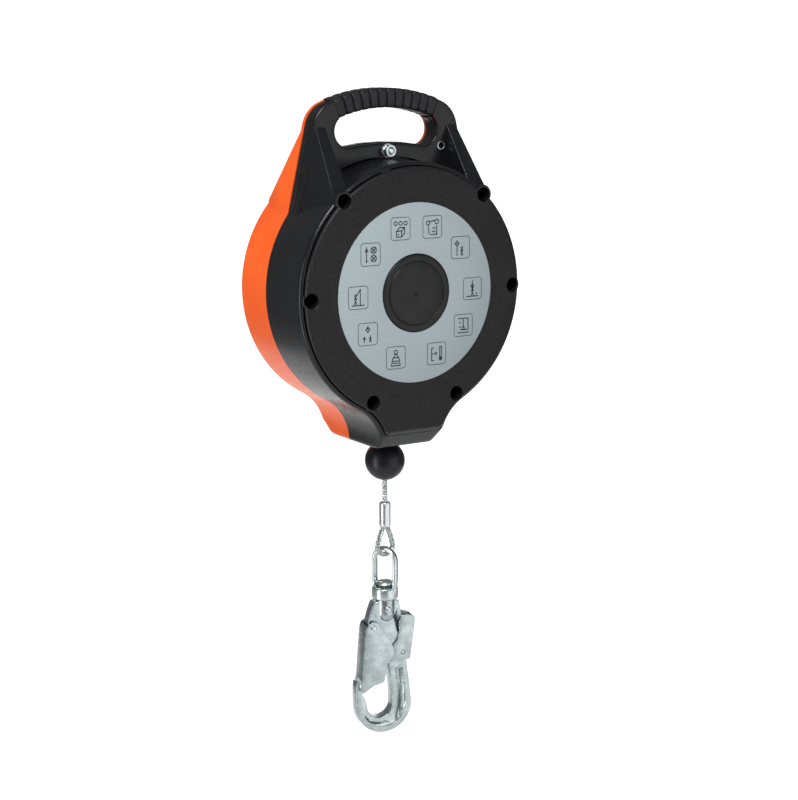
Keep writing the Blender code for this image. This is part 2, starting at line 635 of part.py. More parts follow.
def loop_tube():
    """The rope's end turned back through the swivel's eye, from ferrule to ferrule."""
    neck = ROPE_RADIUS + 0.15
    top = FERRULE_BOTTOM - GAP
    path = [(-neck, 0, top), (-neck, 0, top - 1.2), (-neck - 0.8, 0, top - 3.5), (-neck - 3.4, 0, top - 9.5)]
    for i in range(11):
        a = pi + pi * i / 10
        path.append((LOOP_RADIUS * cos(a), 0, LOOP_CENTRE_Z + LOOP_RADIUS * sin(a)))
    path += [(neck + 3.4, 0, top - 9.5), (neck + 0.8, 0, top - 3.5), (neck, 0, top - 1.2), (neck, 0, top)]
    return sweep(path, round_section(ROPE_RADIUS, ROPE_RADIUS, 8), side=(0, 1, 0))


def make_swivel():
    """The eye that hangs in the rope's loop, and the headed stem that turns in its base."""
    radial, across = EYE_BAR
    centre = EYE_HALF - radial / 2
    arch_z = EYE_TOP - EYE_HALF
    path = [(-centre, 0, BASE_BOTTOM + 1.5), (-centre, 0, -266.0)]
    for i in range(13):
        a = pi - pi * i / 12
        path.append((centre * cos(a), 0, arch_z + centre * sin(a)))
    path += [(centre, 0, -266.0), (centre, 0, BASE_BOTTOM + 1.5)]
    bar = sweep(path, round_section(across / 2, radial / 2, 10), side=(0, 1, 0))
    item = make_object("swivel_eye", bar, STEEL, at=(0, ROPE_Y, 0), turn=EYE_TURN, parent="eye_axis")
    base = ring(5.4, BASE_RADIUS, BASE_BOTTOM, BASE_TOP, 24, "Z")
    join(item, tool(base, (0, ROPE_Y, 0), EYE_TURN))

    stem = [(0, -269.0), (4.0, -269.4), (7.0, -270.8), (8.6, -273.0), (5.1, -273.0), (5.1, -300.0), (0, -300.0)]
    item = make_object("swivel_stem", lathe(stem, 18, "Z"), STEEL, at=(0, ROPE_Y, 0), parent="hook_axis")
    cut(item, tool(cylinder(2.7, -12, 12, 14), (0, ROPE_Y, BOSS_PIN_Z), HOOK_TURN))
    make_object("indicator_ring", ring(5.4, 8.8, -274.7, -273.3, 20, "Z"), GREEN, at=(0, ROPE_Y, 0),
                parent="hook_axis")


def hook_point(s, z):
    """A point of the hook's plane, given across and up, about the drum's axis."""
    return (s * cos(HOOK_TURN), ROPE_Y + s * sin(HOOK_TURN), z)


def hook_part(name, shape, pivot, finish=STEEL, parent="hook_axis"):
    """A piece drawn in the hook's plane about its own pivot."""
    return make_object(name, shape, finish, at=hook_point(*pivot), turn=HOOK_TURN, parent=parent)


def pin_hole(radius, pivot):
    return tool(cylinder(radius, -12, 12, 14), hook_point(*pivot), HOOK_TURN)


def moved(outline, pivot):
    return [(x - pivot[0], z - pivot[1]) for x, z in outline]


def hook_outline():
    outer = [(8.5, -287.5), (9.5, -295.0), (13.5, -302.0), (17.0, -312.0), (18.0, -330.0), (18.8, -345.0),
             (19.7, -355.0), (21.6, -368.0)]
    outer += arc((-3.2, -387.0), 26.8, 14, -180, 18)
    outer += [(-30.2, -376.0), (-30.0, -366.0), (-28.8, -363.0), (-27.2, -363.6)]
    inner = [(-26.2, -369.0), (-24.5, -374.7), (-20.8, -382.0)]
    inner += arc((-7.4, -387.0), 12.2, 196, 352, 10)
    inner += [(4.6, -381.0), (4.2, -373.0), (2.6, -362.0), (1.6, -350.0), (-1.0, -336.0), (-6.0, -325.0),
              (-13.0, -319.5), (-17.5, -316.5), (-19.0, -311.0), (-17.0, -303.0), (-14.0, -294.0),
              (-11.0, -287.5)]
    return outer + inner


def gate_outline():
    return [(-19.7, -308.3), (-14.7, -305.3), (-9.7, -307.3), (-5.7, -313.3), (-1.7, -319.3), (2.3, -326.3),
            (5.3, -332.3), (6.3, -337.3), (4.3, -341.5), (0.3, -345.5), (-1.7, -349.0), (-2.7, -356.3),
            (-3.7, -363.3), (-6.7, -365.3), (-13.7, -366.3), (-19.7, -370.3), (-24.7, -373.3),
            (-27.7, -370.3), (-25.6, -362.0), (-24.6, -350.0), (-24.0, -340.0), (-23.0, -327.0),
            (-21.7, -312.0)]


def lever_outline():
    return [(12.9, -303.0), (18.9, -302.0), (23.9, -303.5), (26.9, -305.5), (21.9, -345.0), (18.9, -345.0),
            (14.9, -346.0), (2.9, -346.5), (1.9, -343.0), (6.9, -338.0), (6.0, -333.0), (4.9, -330.0),
            (8.9, -326.0), (10.9, -319.0), (10.9, -309.0)]


def make_hook():
    """The forged hook with its sheet-metal gate and the lever that locks the gate."""
    origin = (0.0, 0.0)
    body = hook_part("hook_body", prism(hook_outline(), -FORGING_HALF, FORGING_HALF), origin)
    boss = [(0, -286.6), (9.3, -286.6), (9.3, -301.0), (8.2, -305.0), (5.4, -308.2), (0, -309.6)]
    join(body, tool(lathe(boss, 18, "Z"), hook_point(0, 0)))
    cut(body, tool(cylinder(5.4, -301.0, -280.0, 24, "Z"), hook_point(0, 0)),
        pin_hole(2.5, (0, BOSS_PIN_Z)), pin_hole(2.3, GATE_PIVOT), pin_hole(2.3, LEVER_PIVOT))
    hook_part("boss_rivet", rivet(2.2, 9.7, 2.9, 1.0), (0, BOSS_PIN_Z))
    hook_part("gate_pin", rivet(2.0, GATE_INNER + SHEET + GAP, 2.8, 0.8), GATE_PIVOT)
    hook_part("lock_pin", cylinder(2.0, -7.9, 7.9, 14), LEVER_PIVOT)

    wide = GATE_INNER + SHEET
    gate = hook_part("gate", prism(moved(gate_outline(), GATE_PIVOT), -wide, wide), GATE_PIVOT,
                     parent="gate_axis")
    room = [(-21.7 + SHEET, -300.0), (20.0, -300.0), (20.0, -380.0), (-35.0, -380.0), (-35.0, -361.5),
            (-24.0, -361.5), (-23.0, -350.0), (-22.5, -340.0), (-21.5, -327.0), (-20.2, -312.0)]
    cut(gate, tool(prism(room, -GATE_INNER, GATE_INNER), hook_point(0, 0), HOOK_TURN),
        pin_hole(2.3, GATE_PIVOT))

    wide = LEVER_INNER + SHEET
    lever = hook_part("lock_lever", prism(moved(lever_outline(), LEVER_PIVOT), -wide, wide), LEVER_PIVOT,
                      parent="lever_axis")
    room = [(-10.0, -295.0), (26.4, -295.0), (25.2, -305.0), (20.2, -346.0), (20.2, -355.0), (-10.0, -355.0)]
    cut(lever, tool(prism(room, -LEVER_INNER, LEVER_INNER), hook_point(0, 0), HOOK_TURN),
        pin_hole(2.3, LEVER_PIVOT))

    hook_part("gate_spring", coil(3.2, 0.6, 21.0, 5), (-22.1, -338.0))
    hook_part("lock_spring", coil(2.6, 0.5, 5.6, 3), (17.7, -316.0))


def rivet(radius, reach, head, rise):
    """A pin through the hook's plane with a low head on each side."""
    profile = [(0, -reach - rise), (head * 0.7, -reach - rise * 0.8), (head, -reach), (radius, -reach),
               (radius, reach), (head, reach), (head * 0.7, reach + rise * 0.8), (0, reach + rise)]
    return lathe(profile, 14)


def coil(radius, wire, length, turns):
    """A compression spring that lies along the hook's width, from its own origin."""
    steps = turns * 10
    path = []
    for i in range(steps + 1):
        a = 2 * pi * i / 10
        path.append((wire + (length - 2 * wire) * i / steps, radius * cos(a), radius * sin(a)))
    return sweep(path, round_section(wire, wire, 5), side=(1, 0, 0))


def main():
    clear_scene()
    joint_empty("drum_axis", (0, 0, 0))
    joint_empty("brake_axis", (0, 0, 0))
    joint_empty("payout_axis", (0, ROPE_Y, 0))
    joint_empty("eye_axis", (0, ROPE_Y, EYE_TOP - EYE_BAR[0] / 2), "payout_axis")
    joint_empty("hook_axis", (0, ROPE_Y, BASE_BOTTOM), "eye_axis")
    joint_empty("gate_axis", hook_point(*GATE_PIVOT), "hook_axis")
    joint_empty("lever_axis", hook_point(*LEVER_PIVOT), "hook_axis")
    make_housing()
    make_frame()
    make_brake()
    make_drum()
    make_rope()
    make_swivel()
    make_hook()


main()
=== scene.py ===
"""Looks of the self retracting lifeline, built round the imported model.

Shapes are drawn in millimetres about the drum's axis, as the design is, and placed in the
frame in metres by mesh_object(). Hook pieces are drawn in the hook's own plane.
"""
import bmesh
import bpy
from math import asin, cos, pi, radians, sin, sqrt
from mathutils import Matrix, Vector


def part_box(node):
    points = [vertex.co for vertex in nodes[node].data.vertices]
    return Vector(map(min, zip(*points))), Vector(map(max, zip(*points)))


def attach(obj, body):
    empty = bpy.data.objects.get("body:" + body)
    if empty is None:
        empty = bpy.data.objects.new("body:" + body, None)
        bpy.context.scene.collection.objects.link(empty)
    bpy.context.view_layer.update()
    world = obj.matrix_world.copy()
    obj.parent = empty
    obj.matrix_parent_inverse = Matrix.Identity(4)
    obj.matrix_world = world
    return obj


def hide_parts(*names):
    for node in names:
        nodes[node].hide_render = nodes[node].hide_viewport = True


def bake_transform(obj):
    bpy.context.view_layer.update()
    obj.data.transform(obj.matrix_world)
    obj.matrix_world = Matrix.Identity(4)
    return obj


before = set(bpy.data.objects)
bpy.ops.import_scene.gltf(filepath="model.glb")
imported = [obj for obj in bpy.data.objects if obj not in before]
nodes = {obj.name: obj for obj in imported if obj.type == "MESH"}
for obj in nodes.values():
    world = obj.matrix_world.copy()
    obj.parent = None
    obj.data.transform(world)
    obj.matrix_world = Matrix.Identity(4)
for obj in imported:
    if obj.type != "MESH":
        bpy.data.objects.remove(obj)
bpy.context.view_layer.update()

MM = 0.001


def centre(node):
    low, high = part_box(node)
    return (low + high) / 2


# Places and sizes read from the frame
DRUM_Z = centre("cable_drum").z / MM
ROPE_Y = centre("ball_bumper").y / MM
BALL_Z = centre("ball_bumper").z / MM - DRUM_Z
BALL_RADIUS = (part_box("ball_bumper")[1].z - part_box("ball_bumper")[0].z) / MM / 2 + 0.05
BODY_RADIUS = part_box("front_cover")[1].x / MM
FRONT_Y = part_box("front_cover")[0].y / MM
REAR_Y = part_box("rear_cover")[1].y / MM
SPOUT_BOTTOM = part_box("front_cover")[0].z / MM - DRUM_Z
LABEL_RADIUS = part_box("label_ring")[1].x / MM
CAP_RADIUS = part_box("hub_cap")[1].x / MM
FERRULE_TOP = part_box("rope_ferrule")[1].z / MM - DRUM_Z
FERRULE_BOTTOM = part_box("rope_ferrule")[0].z / MM - DRUM_Z
ROPE_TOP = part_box("lifeline_rope")[1].z / MM - DRUM_Z
DRUM_FRONT, DRUM_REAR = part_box("wound_rope")[0].y / MM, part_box("wound_rope")[1].y / MM
BOLT = (0.0, centre("anchor_nut").z / MM - DRUM_Z)
EYELET = (centre("eyelet_rivet").x / MM, centre("eyelet_rivet").z / MM - DRUM_Z)
SCREWS = [(centre("housing_screw_%d" % n).x / MM, centre("housing_screw_%d" % n).z / MM - DRUM_Z)
          for n in range(1, 7)]

# Housing details
SEAM = 0.15
WALL = 3.4
SPOUT_HALF = 30.0
SPOUT_BLEND = 45.0
CHAMFER = 19.0
REAR_CHAMFER = 14.0
HANDLE_FRONT = -16.5
HANDLE_REAR = 5.2
HANDLE_TOP = 172.9
GRIP_BOTTOM = 156.5
TOP_ARC = 154.0
ARC_HALF = 57.0
CORNER_ARC = 27.0
SIDE_TILT = radians(77.2)
SIDE_SLOPE = 4.40
HOLE_TOP_ARC = 138.0
HOLE_END = 38.0
HOLE_END_RADIUS = 14.0
HOLE_BOTTOM = 126.4
SLOT_OUTER = 115.0
SLOT_HALF_ANGLE = 24.0
GRIP_HALF = 53.0
GRIP_RIBS = 12
SCREW_HOLE = 6.4
THREAD_PITCH = 1.0

# Rope, swivel and hook
ROPE_RADIUS = 2.4
ROPE_LAY = 30.0
ROPE_STEP = 0.7
STRANDS = 6
WIRES = 6
WIRE_LAY = 5.0
WOUND_LENGTH = 10000.0
WOUND_LAYER = 4.65
WOUND_PITCH = 4.95
WOUND_FIRST = 47.6
CRIMP_HALF = 4.75
PARTING_TURN = radians(52)
LOOP_RADIUS = 8.2
LOOP_CENTRE_Z = -237.2
EYE_TURN = radians(-66.0)
EYE_HALF = 13.5
EYE_TOP = -237.5
BASE_TOP = -275.0
BASE_BOTTOM = -286.0
BASE_RADIUS = 12.2
HOOK_TURN = radians(-12.0)
FORGING_HALF = 6.0
GATE_PIVOT = (-14.5, -312.0)
LEVER_PIVOT = (14.8, -338.0)
BOSS_PIN_Z = -295.5
SHEET = 1.5
LEVER_INNER = 6.3
GATE_INNER = 8.1


# ---------------------------------------------------------------- camera

def make_camera():
    yaw, pitch = radians(-32.28), radians(-10.93)
    camera = bpy.data.objects.new("camera", bpy.data.cameras.new("camera"))
    camera.location = (-0.8425, -1.3697, 0.0497)
    camera.rotation_euler = (pi / 2 + pitch, 0, yaw)
    camera.data.sensor_width = 36.0
    camera.data.lens = 81.72
    camera.data.clip_start = 0.05
    bpy.context.scene.collection.objects.link(camera)
    bpy.context.scene.camera = camera
    bpy.context.scene.view_settings.view_transform = "Standard"


# ---------------------------------------------------------------- materials

class Recipe:
    """A Principled material with helpers for the noise that colours, roughens and bumps it."""

    def __init__(self, name, colour, roughness, metallic=0.0):
        self.material = bpy.data.materials.new(name)
        self.material.use_nodes = True
        self.tree = self.material.node_tree
        self.shader = self.tree.nodes["Principled BSDF"]
        self.set({"Base Color": (*colour, 1.0), "Roughness": roughness, "Metallic": metallic})
        self.place = self.tree.nodes.new("ShaderNodeTexCoord").outputs["Object"]
        self.height = None

    def set(self, values, node=None):
        for name, value in values.items():
            (node or self.shader).inputs[name].default_value = value

    def node(self, kind, socket, value, values):
        """A new node with the values, and the given output linked to one of its sockets."""
        node = self.tree.nodes.new(kind)
        self.set(values, node)
        self.tree.links.new(value, node.inputs[socket])
        return node

    def noise(self, scale, detail=3.0, stretch=(1, 1, 1)):
        mapping = self.node("ShaderNodeMapping", "Vector", self.place, {"Scale": stretch})
        return self.node("ShaderNodeTexNoise", "Vector", mapping.outputs["Vector"],
                         {"Scale": scale, "Detail": detail}).outputs["Fac"]

    def cells(self, scale):
        return self.node("ShaderNodeTexVoronoi", "Vector", self.place, {"Scale": scale}).outputs["Distance"]

    def colours(self, value, one, two, start=0.35, end=0.65):
        ramp = self.node("ShaderNodeValToRGB", "Fac", value, {})
        for element, position, colour in zip(ramp.color_ramp.elements, (start, end), (one, two)):
            element.position = position
            element.color = (*colour, 1.0)
        self.tree.links.new(ramp.outputs["Color"], self.shader.inputs["Base Color"])
        return self

    def rough(self, value, low, high):
        spread = self.node("ShaderNodeMapRange", "Value", value,
                           {"From Min": 0.3, "From Max": 0.7, "To Min": low, "To Max": high})
        self.tree.links.new(spread.outputs["Result"], self.shader.inputs["Roughness"])
        return self

    def bump(self, value, strength, distance):
        node = self.node("ShaderNodeBump", "Height", value, {"Strength": strength, "Distance": distance})
        if self.height is not None:
            self.tree.links.new(self.height, node.inputs["Normal"])
        self.height = node.outputs["Normal"]
        self.tree.links.new(self.height, self.shader.inputs["Normal"])
        return self


def shell_side():
    """Moulded black plastic, satin, with a faint even grain."""
    mix = Recipe("shell_side", (0.009, 0.009, 0.010), 0.27)
    mix.colours(mix.noise(35), (0.0075, 0.0075, 0.0085), (0.0105, 0.0105, 0.012))
    mix.rough(mix.noise(240), 0.23, 0.32)
    mix.set({"Specular IOR Level": 0.34})
    mix.bump(mix.noise(1500, 2.0), 0.04, 0.0001)
    mix.bump(mix.noise(45), 0.06, 0.0005)
    return mix.material


def shell_front():
    """The front disc's coarse eroded grain."""
    mix = Recipe("shell_front", (0.024, 0.021, 0.020), 0.5)
    mix.colours(mix.noise(420, 4.0), (0.006, 0.0056, 0.006), (0.014, 0.0132, 0.014), 0.3, 0.7)
    mix.rough(mix.noise(300), 0.42, 0.58)
    mix.set({"Specular IOR Level": 0.27})
    mix.bump(mix.cells(1250), 0.30, 0.00022)
    mix.bump(mix.noise(2200, 3.0), 0.30, 0.00018)
    return mix.material


def cap_plastic():
    mix = Recipe("cap_plastic", (0.012, 0.011, 0.011), 0.5)
    mix.colours(mix.noise(90), (0.008, 0.008, 0.0085), (0.0125, 0.0125, 0.013))
    mix.rough(mix.noise(180), 0.36, 0.50)
    mix.set({"Specular IOR Level": 0.32})
    mix.bump(mix.noise(1900, 3.0), 0.16, 0.00015)
    mix.bump(mix.noise(60, 2.0), 0.10, 0.0005)
    return mix.material


def orange_plastic():
    """Bright orange moulding with a slight orange peel and a soft gloss."""
    mix = Recipe("orange_plastic", (1.0, 0.135, 0.022), 0.33)
    mix.colours(mix.noise(28), (0.96, 0.118, 0.013), (1.0, 0.142, 0.018))
    mix.set({"Specular IOR Level": 0.38})
    mix.rough(mix.noise(200), 0.28, 0.38)
    mix.bump(mix.noise(700, 2.0), 0.05, 0.0002)
    mix.bump(mix.noise(40), 0.08, 0.0006)
    return mix.material


def label_film():
    """Grey film with a faint brushed streak."""
    mix = Recipe("label_film", (0.36, 0.42, 0.44), 0.42)
    streak = mix.noise(60, 3.0, (1.0, 1.0, 22.0))
    mix.colours(streak, (0.342, 0.412, 0.432), (0.372, 0.434, 0.456))
    mix.rough(mix.noise(300), 0.34, 0.48)
    mix.bump(mix.noise(1800, 2.0, (1.0, 1.0, 6.0)), 0.05, 0.0001)
    mix.set({"Coat Weight": 0.25})
    mix.set({"Coat Roughness": 0.25})
    return mix.material


def label_ink():
    mix = Recipe("label_ink", (0.03, 0.035, 0.04), 0.5)
    mix.colours(mix.noise(900, 3.0), (0.012, 0.014, 0.017), (0.032, 0.036, 0.04))
    mix.bump(mix.noise(2500), 0.1, 0.00005)
    return mix.material


def rubber(name, dark, light, grain, low, high):
    mix = Recipe(name, dark, (low + high) / 2)
    mix.colours(mix.noise(120, 4.0), dark, light)
    mix.rough(mix.noise(160), low, high)
    mix.set({"Specular IOR Level": 0.36})
    mix.bump(mix.noise(grain, 3.0), 0.14, 0.00015)
    mix.bump(mix.noise(80, 2.0), 0.12, 0.0005)
    return mix.material


def zinc_steel(name="zinc_steel", dark=(0.40, 0.47, 0.475), light=(0.58, 0.65, 0.652), cast=0.16):
    """Zinc plate over forged or pressed steel: cloudy, with fine pits."""
    mix = Recipe(name, light, 0.3, 1.0)
    mix.colours(mix.noise(140, 5.0), dark, light, 0.3, 0.7)
    mix.rough(mix.noise(420, 4.0), 0.22, 0.36)
    mix.bump(mix.noise(1100, 4.0), cast, 0.0002)
    mix.bump(mix.noise(160, 3.0), cast, 0.0004)
    return mix.material


def plain_metal(name, dark, light, low, high, grain=900, stretch=(1, 1, 1)):
    mix = Recipe(name, light, (low + high) / 2, 1.0)
    mix.colours(mix.noise(110, 4.0, stretch), dark, light, 0.3, 0.7)
    mix.rough(mix.noise(380, 3.0, stretch), low, high)
    mix.bump(mix.noise(grain, 3.0, stretch), 0.15, 0.00015)
    return mix.material


def lining():
    mix = Recipe("lining", (0.07, 0.05, 0.04), 0.85)
    mix.colours(mix.noise(900, 5.0), (0.03, 0.025, 0.02), (0.16, 0.11, 0.08), 0.4, 0.6)
    mix.bump(mix.noise(1200, 4.0), 0.4, 0.0003)
    return mix.material


def gloss(name, dark, light, roughness):
    mix = Recipe(name, light, roughness)
    mix.colours(mix.noise(150), dark, light)
    mix.rough(mix.noise(300), roughness - 0.05, roughness + 0.07)
    mix.bump(mix.noise(900), 0.06, 0.0001)
    return mix.material


SIDE = shell_side()
FACE = shell_front()
CAP = cap_plastic()
ORANGE = orange_plastic()
LABEL = label_film()
INK = label_ink()
GRIP = rubber("grip_rubber", (0.009, 0.009, 0.0105), (0.017, 0.017, 0.020), 1500, 0.42, 0.58)
BALL = rubber("ball_rubber", (0.005, 0.005, 0.007), (0.010, 0.010, 0.013), 1100, 0.30, 0.42)
ZINC = zinc_steel()
SMOOTH_ZINC = zinc_steel("smooth_zinc", (0.60, 0.66, 0.665), (0.74, 0.80, 0.80), 0.04)
FORGED = zinc_steel("forged_recess", (0.50, 0.57, 0.575), (0.70, 0.77, 0.77), 0.45)
WIRE = plain_metal("wire", (0.42, 0.46, 0.46), (0.74, 0.78, 0.78), 0.22, 0.38)
SLEEVE = plain_metal("sleeve_aluminium", (0.62, 0.64, 0.65), (0.82, 0.84, 0.85), 0.24, 0.38, 1400, (6, 6, 1))
# Dark steel for the screws and inner parts; also painted shade on the faces inside the eyelet's bore.
DARK = plain_metal("dark_steel", (0.05, 0.05, 0.055), (0.12, 0.12, 0.125), 0.35, 0.5)
DRUM = plain_metal("drum_aluminium", (0.45, 0.46, 0.47), (0.65, 0.66, 0.67), 0.3, 0.45)
BRONZE = plain_metal("bronze", (0.40, 0.26, 0.12), (0.62, 0.43, 0.2), 0.3, 0.45)
LINING = lining()
NYLON = gloss("nylon", (0.012, 0.012, 0.014), (0.022, 0.022, 0.025), 0.45)
GREEN = gloss("indicator_green", (0.004, 0.06, 0.045), (0.008, 0.10, 0.075), 0.3)


# ---------------------------------------------------------------- mesh building

def prism(outline, y0, y1):
    """An outline of (x, z) points, extruded along Y."""
    shape = bmesh.new()
    front = [shape.verts.new((x, y0, z)) for x, z in outline]
    back = [shape.verts.new((x, y1, z)) for x, z in outline]
    shape.faces.new(front)
    shape.faces.new(list(reversed(back)))
    for i in range(len(outline)):
        j = (i + 1) % len(outline)
        shape.faces.new((front[j], front[i], back[i], back[j]))
    return shape


def stack(rings, closed=False):
    """Outlines with the same number of (x, y, z) points, joined in order and capped, or closed in a ring."""
    shape = bmesh.new()
    rows = [[shape.verts.new(point) for point in ring] for ring in rings]
    for one, two in zip(rows, rows[1:] + rows[:1] if closed else rows[1:]):
        for i in range(len(one)):
            j = (i + 1) % len(one)
            shape.faces.new((one[i], one[j], two[j], two[i]))
    if not closed:
        shape.faces.new(list(reversed(rows[0])))
        shape.faces.new(rows[-1])
    return shape


def lathe(profile, sides=64, axis="Y"):
    """A closed profile of (radius, height) points, turned about Y or Z."""
    shape = bmesh.new()
    rings = []
    for radius, height in profile:
        count = sides if radius > 1e-6 else 1
        ring = []
        for i in range(count):
            a = 2 * pi * i / sides
            u, v = radius * cos(a), radius * sin(a)
            ring.append(shape.verts.new((u, height, v) if axis == "Y" else (u, v, height)))
        rings.append(ring)
    for low, high in zip(rings, rings[1:] + rings[:1]):
        for i in range(sides):
            j = (i + 1) % sides
            face = []
            for corner in (low[i % len(low)], low[j % len(low)], high[j % len(high)], high[i % len(high)]):
                if corner not in face:
                    face.append(corner)
            if len(face) > 2:
                shape.faces.new(face)
    return shape


def cylinder(radius, low, high, sides=40, axis="Y"):
    return lathe([(0, low), (radius, low), (radius, high), (0, high)], sides, axis)


def eased(profile, radius, steps=3):
    """The closed profile with each corner off the axis rounded by a short curve."""
    out = []
    for i, point in enumerate(profile):
        here = Vector(point)
        before, after = Vector(profile[i - 1]), Vector(profile[(i + 1) % len(profile)])
        if here.x < 1e-6:
            out.append(point)
            continue
        one, two = before - here, after - here
        reach = min(radius, one.length * 0.45, two.length * 0.45)
        a, b = here + one.normalized() * reach, here + two.normalized() * reach
        for k in range(steps + 1):
            t = k / steps
            spot = a * (1 - t) ** 2 + here * 2 * t * (1 - t) + b * t ** 2
            out.append((spot.x, spot.y))
    return out


def rounded(outline, keep=0.25):
    """Cuts every corner of a closed outline."""
    return [tuple(Vector(one).lerp(Vector(two), share)) for one, two in zip(outline, outline[1:] + outline[:1])
            for share in (keep, 1 - keep)]


def hull(points):
    shape = bmesh.new()
    for point in points:
        shape.verts.new(point)
    bmesh.ops.convex_hull(shape, input=shape.verts)
    loose = [v for v in shape.verts if not v.link_faces]
    bmesh.ops.delete(shape, geom=loose, context="VERTS")
    bmesh.ops.dissolve_limit(shape, angle_limit=radians(2), verts=shape.verts, edges=shape.edges)
    return shape


def soften(shape, width, segments, angle=25):
    """Rounds the sharp edges of a simple closed shape."""
    bmesh.ops.recalc_face_normals(shape, faces=shape.faces)
    sharp = [e for e in shape.edges if len(e.link_faces) == 2 and e.calc_face_angle(0) > radians(angle)]
    bmesh.ops.bevel(shape, geom=sharp, offset=width, segments=segments, profile=0.5,
                    affect="EDGES", clamp_overlap=True)
    return shape


def sweep(path, section):
    """A section carried along a path, its first direction kept near Y."""
    rings = []
    for i, point in enumerate(path):
        before, after = path[max(i - 1, 0)], path[min(i + 1, len(path) - 1)]
        along = (Vector(after) - Vector(before)).normalized()
        across = Vector((0, 1, 0))
        across = (across - along * across.dot(along)).normalized()
        up = along.cross(across)
        rings.append([Vector(point) + across * u + up * v for u, v in section])
    return stack(rings)


def oval(radius_u, radius_v, sides):
    return [(radius_u * cos(2 * pi * i / sides), radius_v * sin(2 * pi * i / sides)) for i in range(sides)]


def arc(middle, radius, start, end, steps):
    """Points on a circle from one angle to another, in degrees."""
    points = []
    for i in range(steps + 1):
        a = radians(start + (end - start) * i / steps)
        points.append((middle[0] + radius * cos(a), middle[1] + radius * sin(a)))
    return points


def mirrored(right_side):
    return right_side + [(-x, z) for x, z in reversed(right_side) if abs(x) > 1e-6]


def merge(*shapes):
    """Several closed shapes in one, without joining them."""
    whole = bmesh.new()
    for shape in shapes:
        mesh = bpy.data.meshes.new("part")
        shape.to_mesh(mesh)
        shape.free()
        whole.from_mesh(mesh)
        bpy.data.meshes.remove(mesh)
    return whole


def at(shape, spot, turn=0.0):
    """The shape turned about Z and moved to a spot given about the drum's axis."""
    shape.transform(Matrix.Translation(spot) @ Matrix.Rotation(turn, 4, "Z"))
    return shape


def mesh_object(name, shape):
    bmesh.ops.recalc_face_normals(shape, faces=shape.faces)
    shape.transform(Matrix.Scale(MM, 4) @ Matrix.Translation((0, 0, DRUM_Z)))
    mesh = bpy.data.meshes.new(name)
    shape.to_mesh(mesh)
    shape.free()
    item = bpy.data.objects.new(name, mesh)
    bpy.context.scene.collection.objects.link(item)
    return item


def settle(item):
    """Applies the object's modifiers to its mesh."""
    bpy.context.view_layer.update()
    graph = bpy.context.evaluated_depsgraph_get()
    done = bpy.data.meshes.new_from_object(item.evaluated_get(graph))
    item.modifiers.clear()
    old = item.data
    item.data = done
    bpy.data.meshes.remove(old)


def combine(item, operation, *shapes):
    group = bpy.data.collections.new("tools")
    bpy.context.scene.collection.children.link(group)
    tools = []
    for shape in shapes:
        tool = mesh_object("tool", shape)
        bpy.context.scene.collection.objects.unlink(tool)
        group.objects.link(tool)
        tools.append(tool)
    step = item.modifiers.new("combine", "BOOLEAN")
    step.operation = operation
    step.solver = "EXACT"
    step.operand_type = "COLLECTION"
    step.collection = group
    settle(item)
    for tool in tools:
        bpy.data.objects.remove(tool, do_unlink=True)
    bpy.data.collections.remove(group)


def join(item, *shapes):
    combine(item, "UNION", *shapes)


def cut(item, *shapes):
    combine(item, "DIFFERENCE", *shapes)


def bevel(item, width, segments, angle):
    step = item.modifiers.new("bevel", "BEVEL")
    step.width = width * MM
    step.segments = segments
    step.limit_method = "ANGLE"
    step.angle_limit = radians(angle)
    step.use_clamp_overlap = True
    settle(item)


def finish(item, body, material, slot, replaced, angle=35):
    """Shades the piece, dresses it, parents it to the body it rides on, and hides the CAD nodes it stands for."""
    mesh = item.data
    mesh.shade_smooth()
    mesh.set_sharp_from_angle(angle=radians(angle))
    mesh.materials.clear()
    for one in (material if isinstance(material, (list, tuple)) else [material]):
        mesh.materials.append(one)
    if body:
        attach(item, body)
    if replaced:
        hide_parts(replaced)
    return item


def piece(name, shape, *facts):
    return finish(mesh_object(name, shape), *facts)


# ---------------------------------------------------------------- rope

def frames_along(path):
    """Points with two directions across the path, carried along it without twisting."""
    spots = [Vector(p) for p in path]
    out = []
    across = None
    for i, spot in enumerate(spots):
        along = (spots[min(i + 1, len(spots) - 1)] - spots[max(i - 1, 0)]).normalized()
        if across is None:
            across = along.orthogonal().normalized()
        across = (across - along * across.dot(along)).normalized()
        out.append((spot, across, along.cross(across)))
    return out


def resampled(path, step):
    """The path with points a fixed step apart."""
    spots = [Vector(p) for p in path]
    lengths = [0.0]
    for a, b in zip(spots, spots[1:]):
        lengths.append(lengths[-1] + (b - a).length)
    count = max(2, round(lengths[-1] / step))
    out, k = [], 0
    for i in range(count + 1):
        goal = lengths[-1] * i / count
        while k < len(lengths) - 2 and lengths[k + 1] < goal:
            k += 1
        t = (goal - lengths[k]) / (lengths[k + 1] - lengths[k])
        out.append(spots[k].lerp(spots[k + 1], t))
    return out


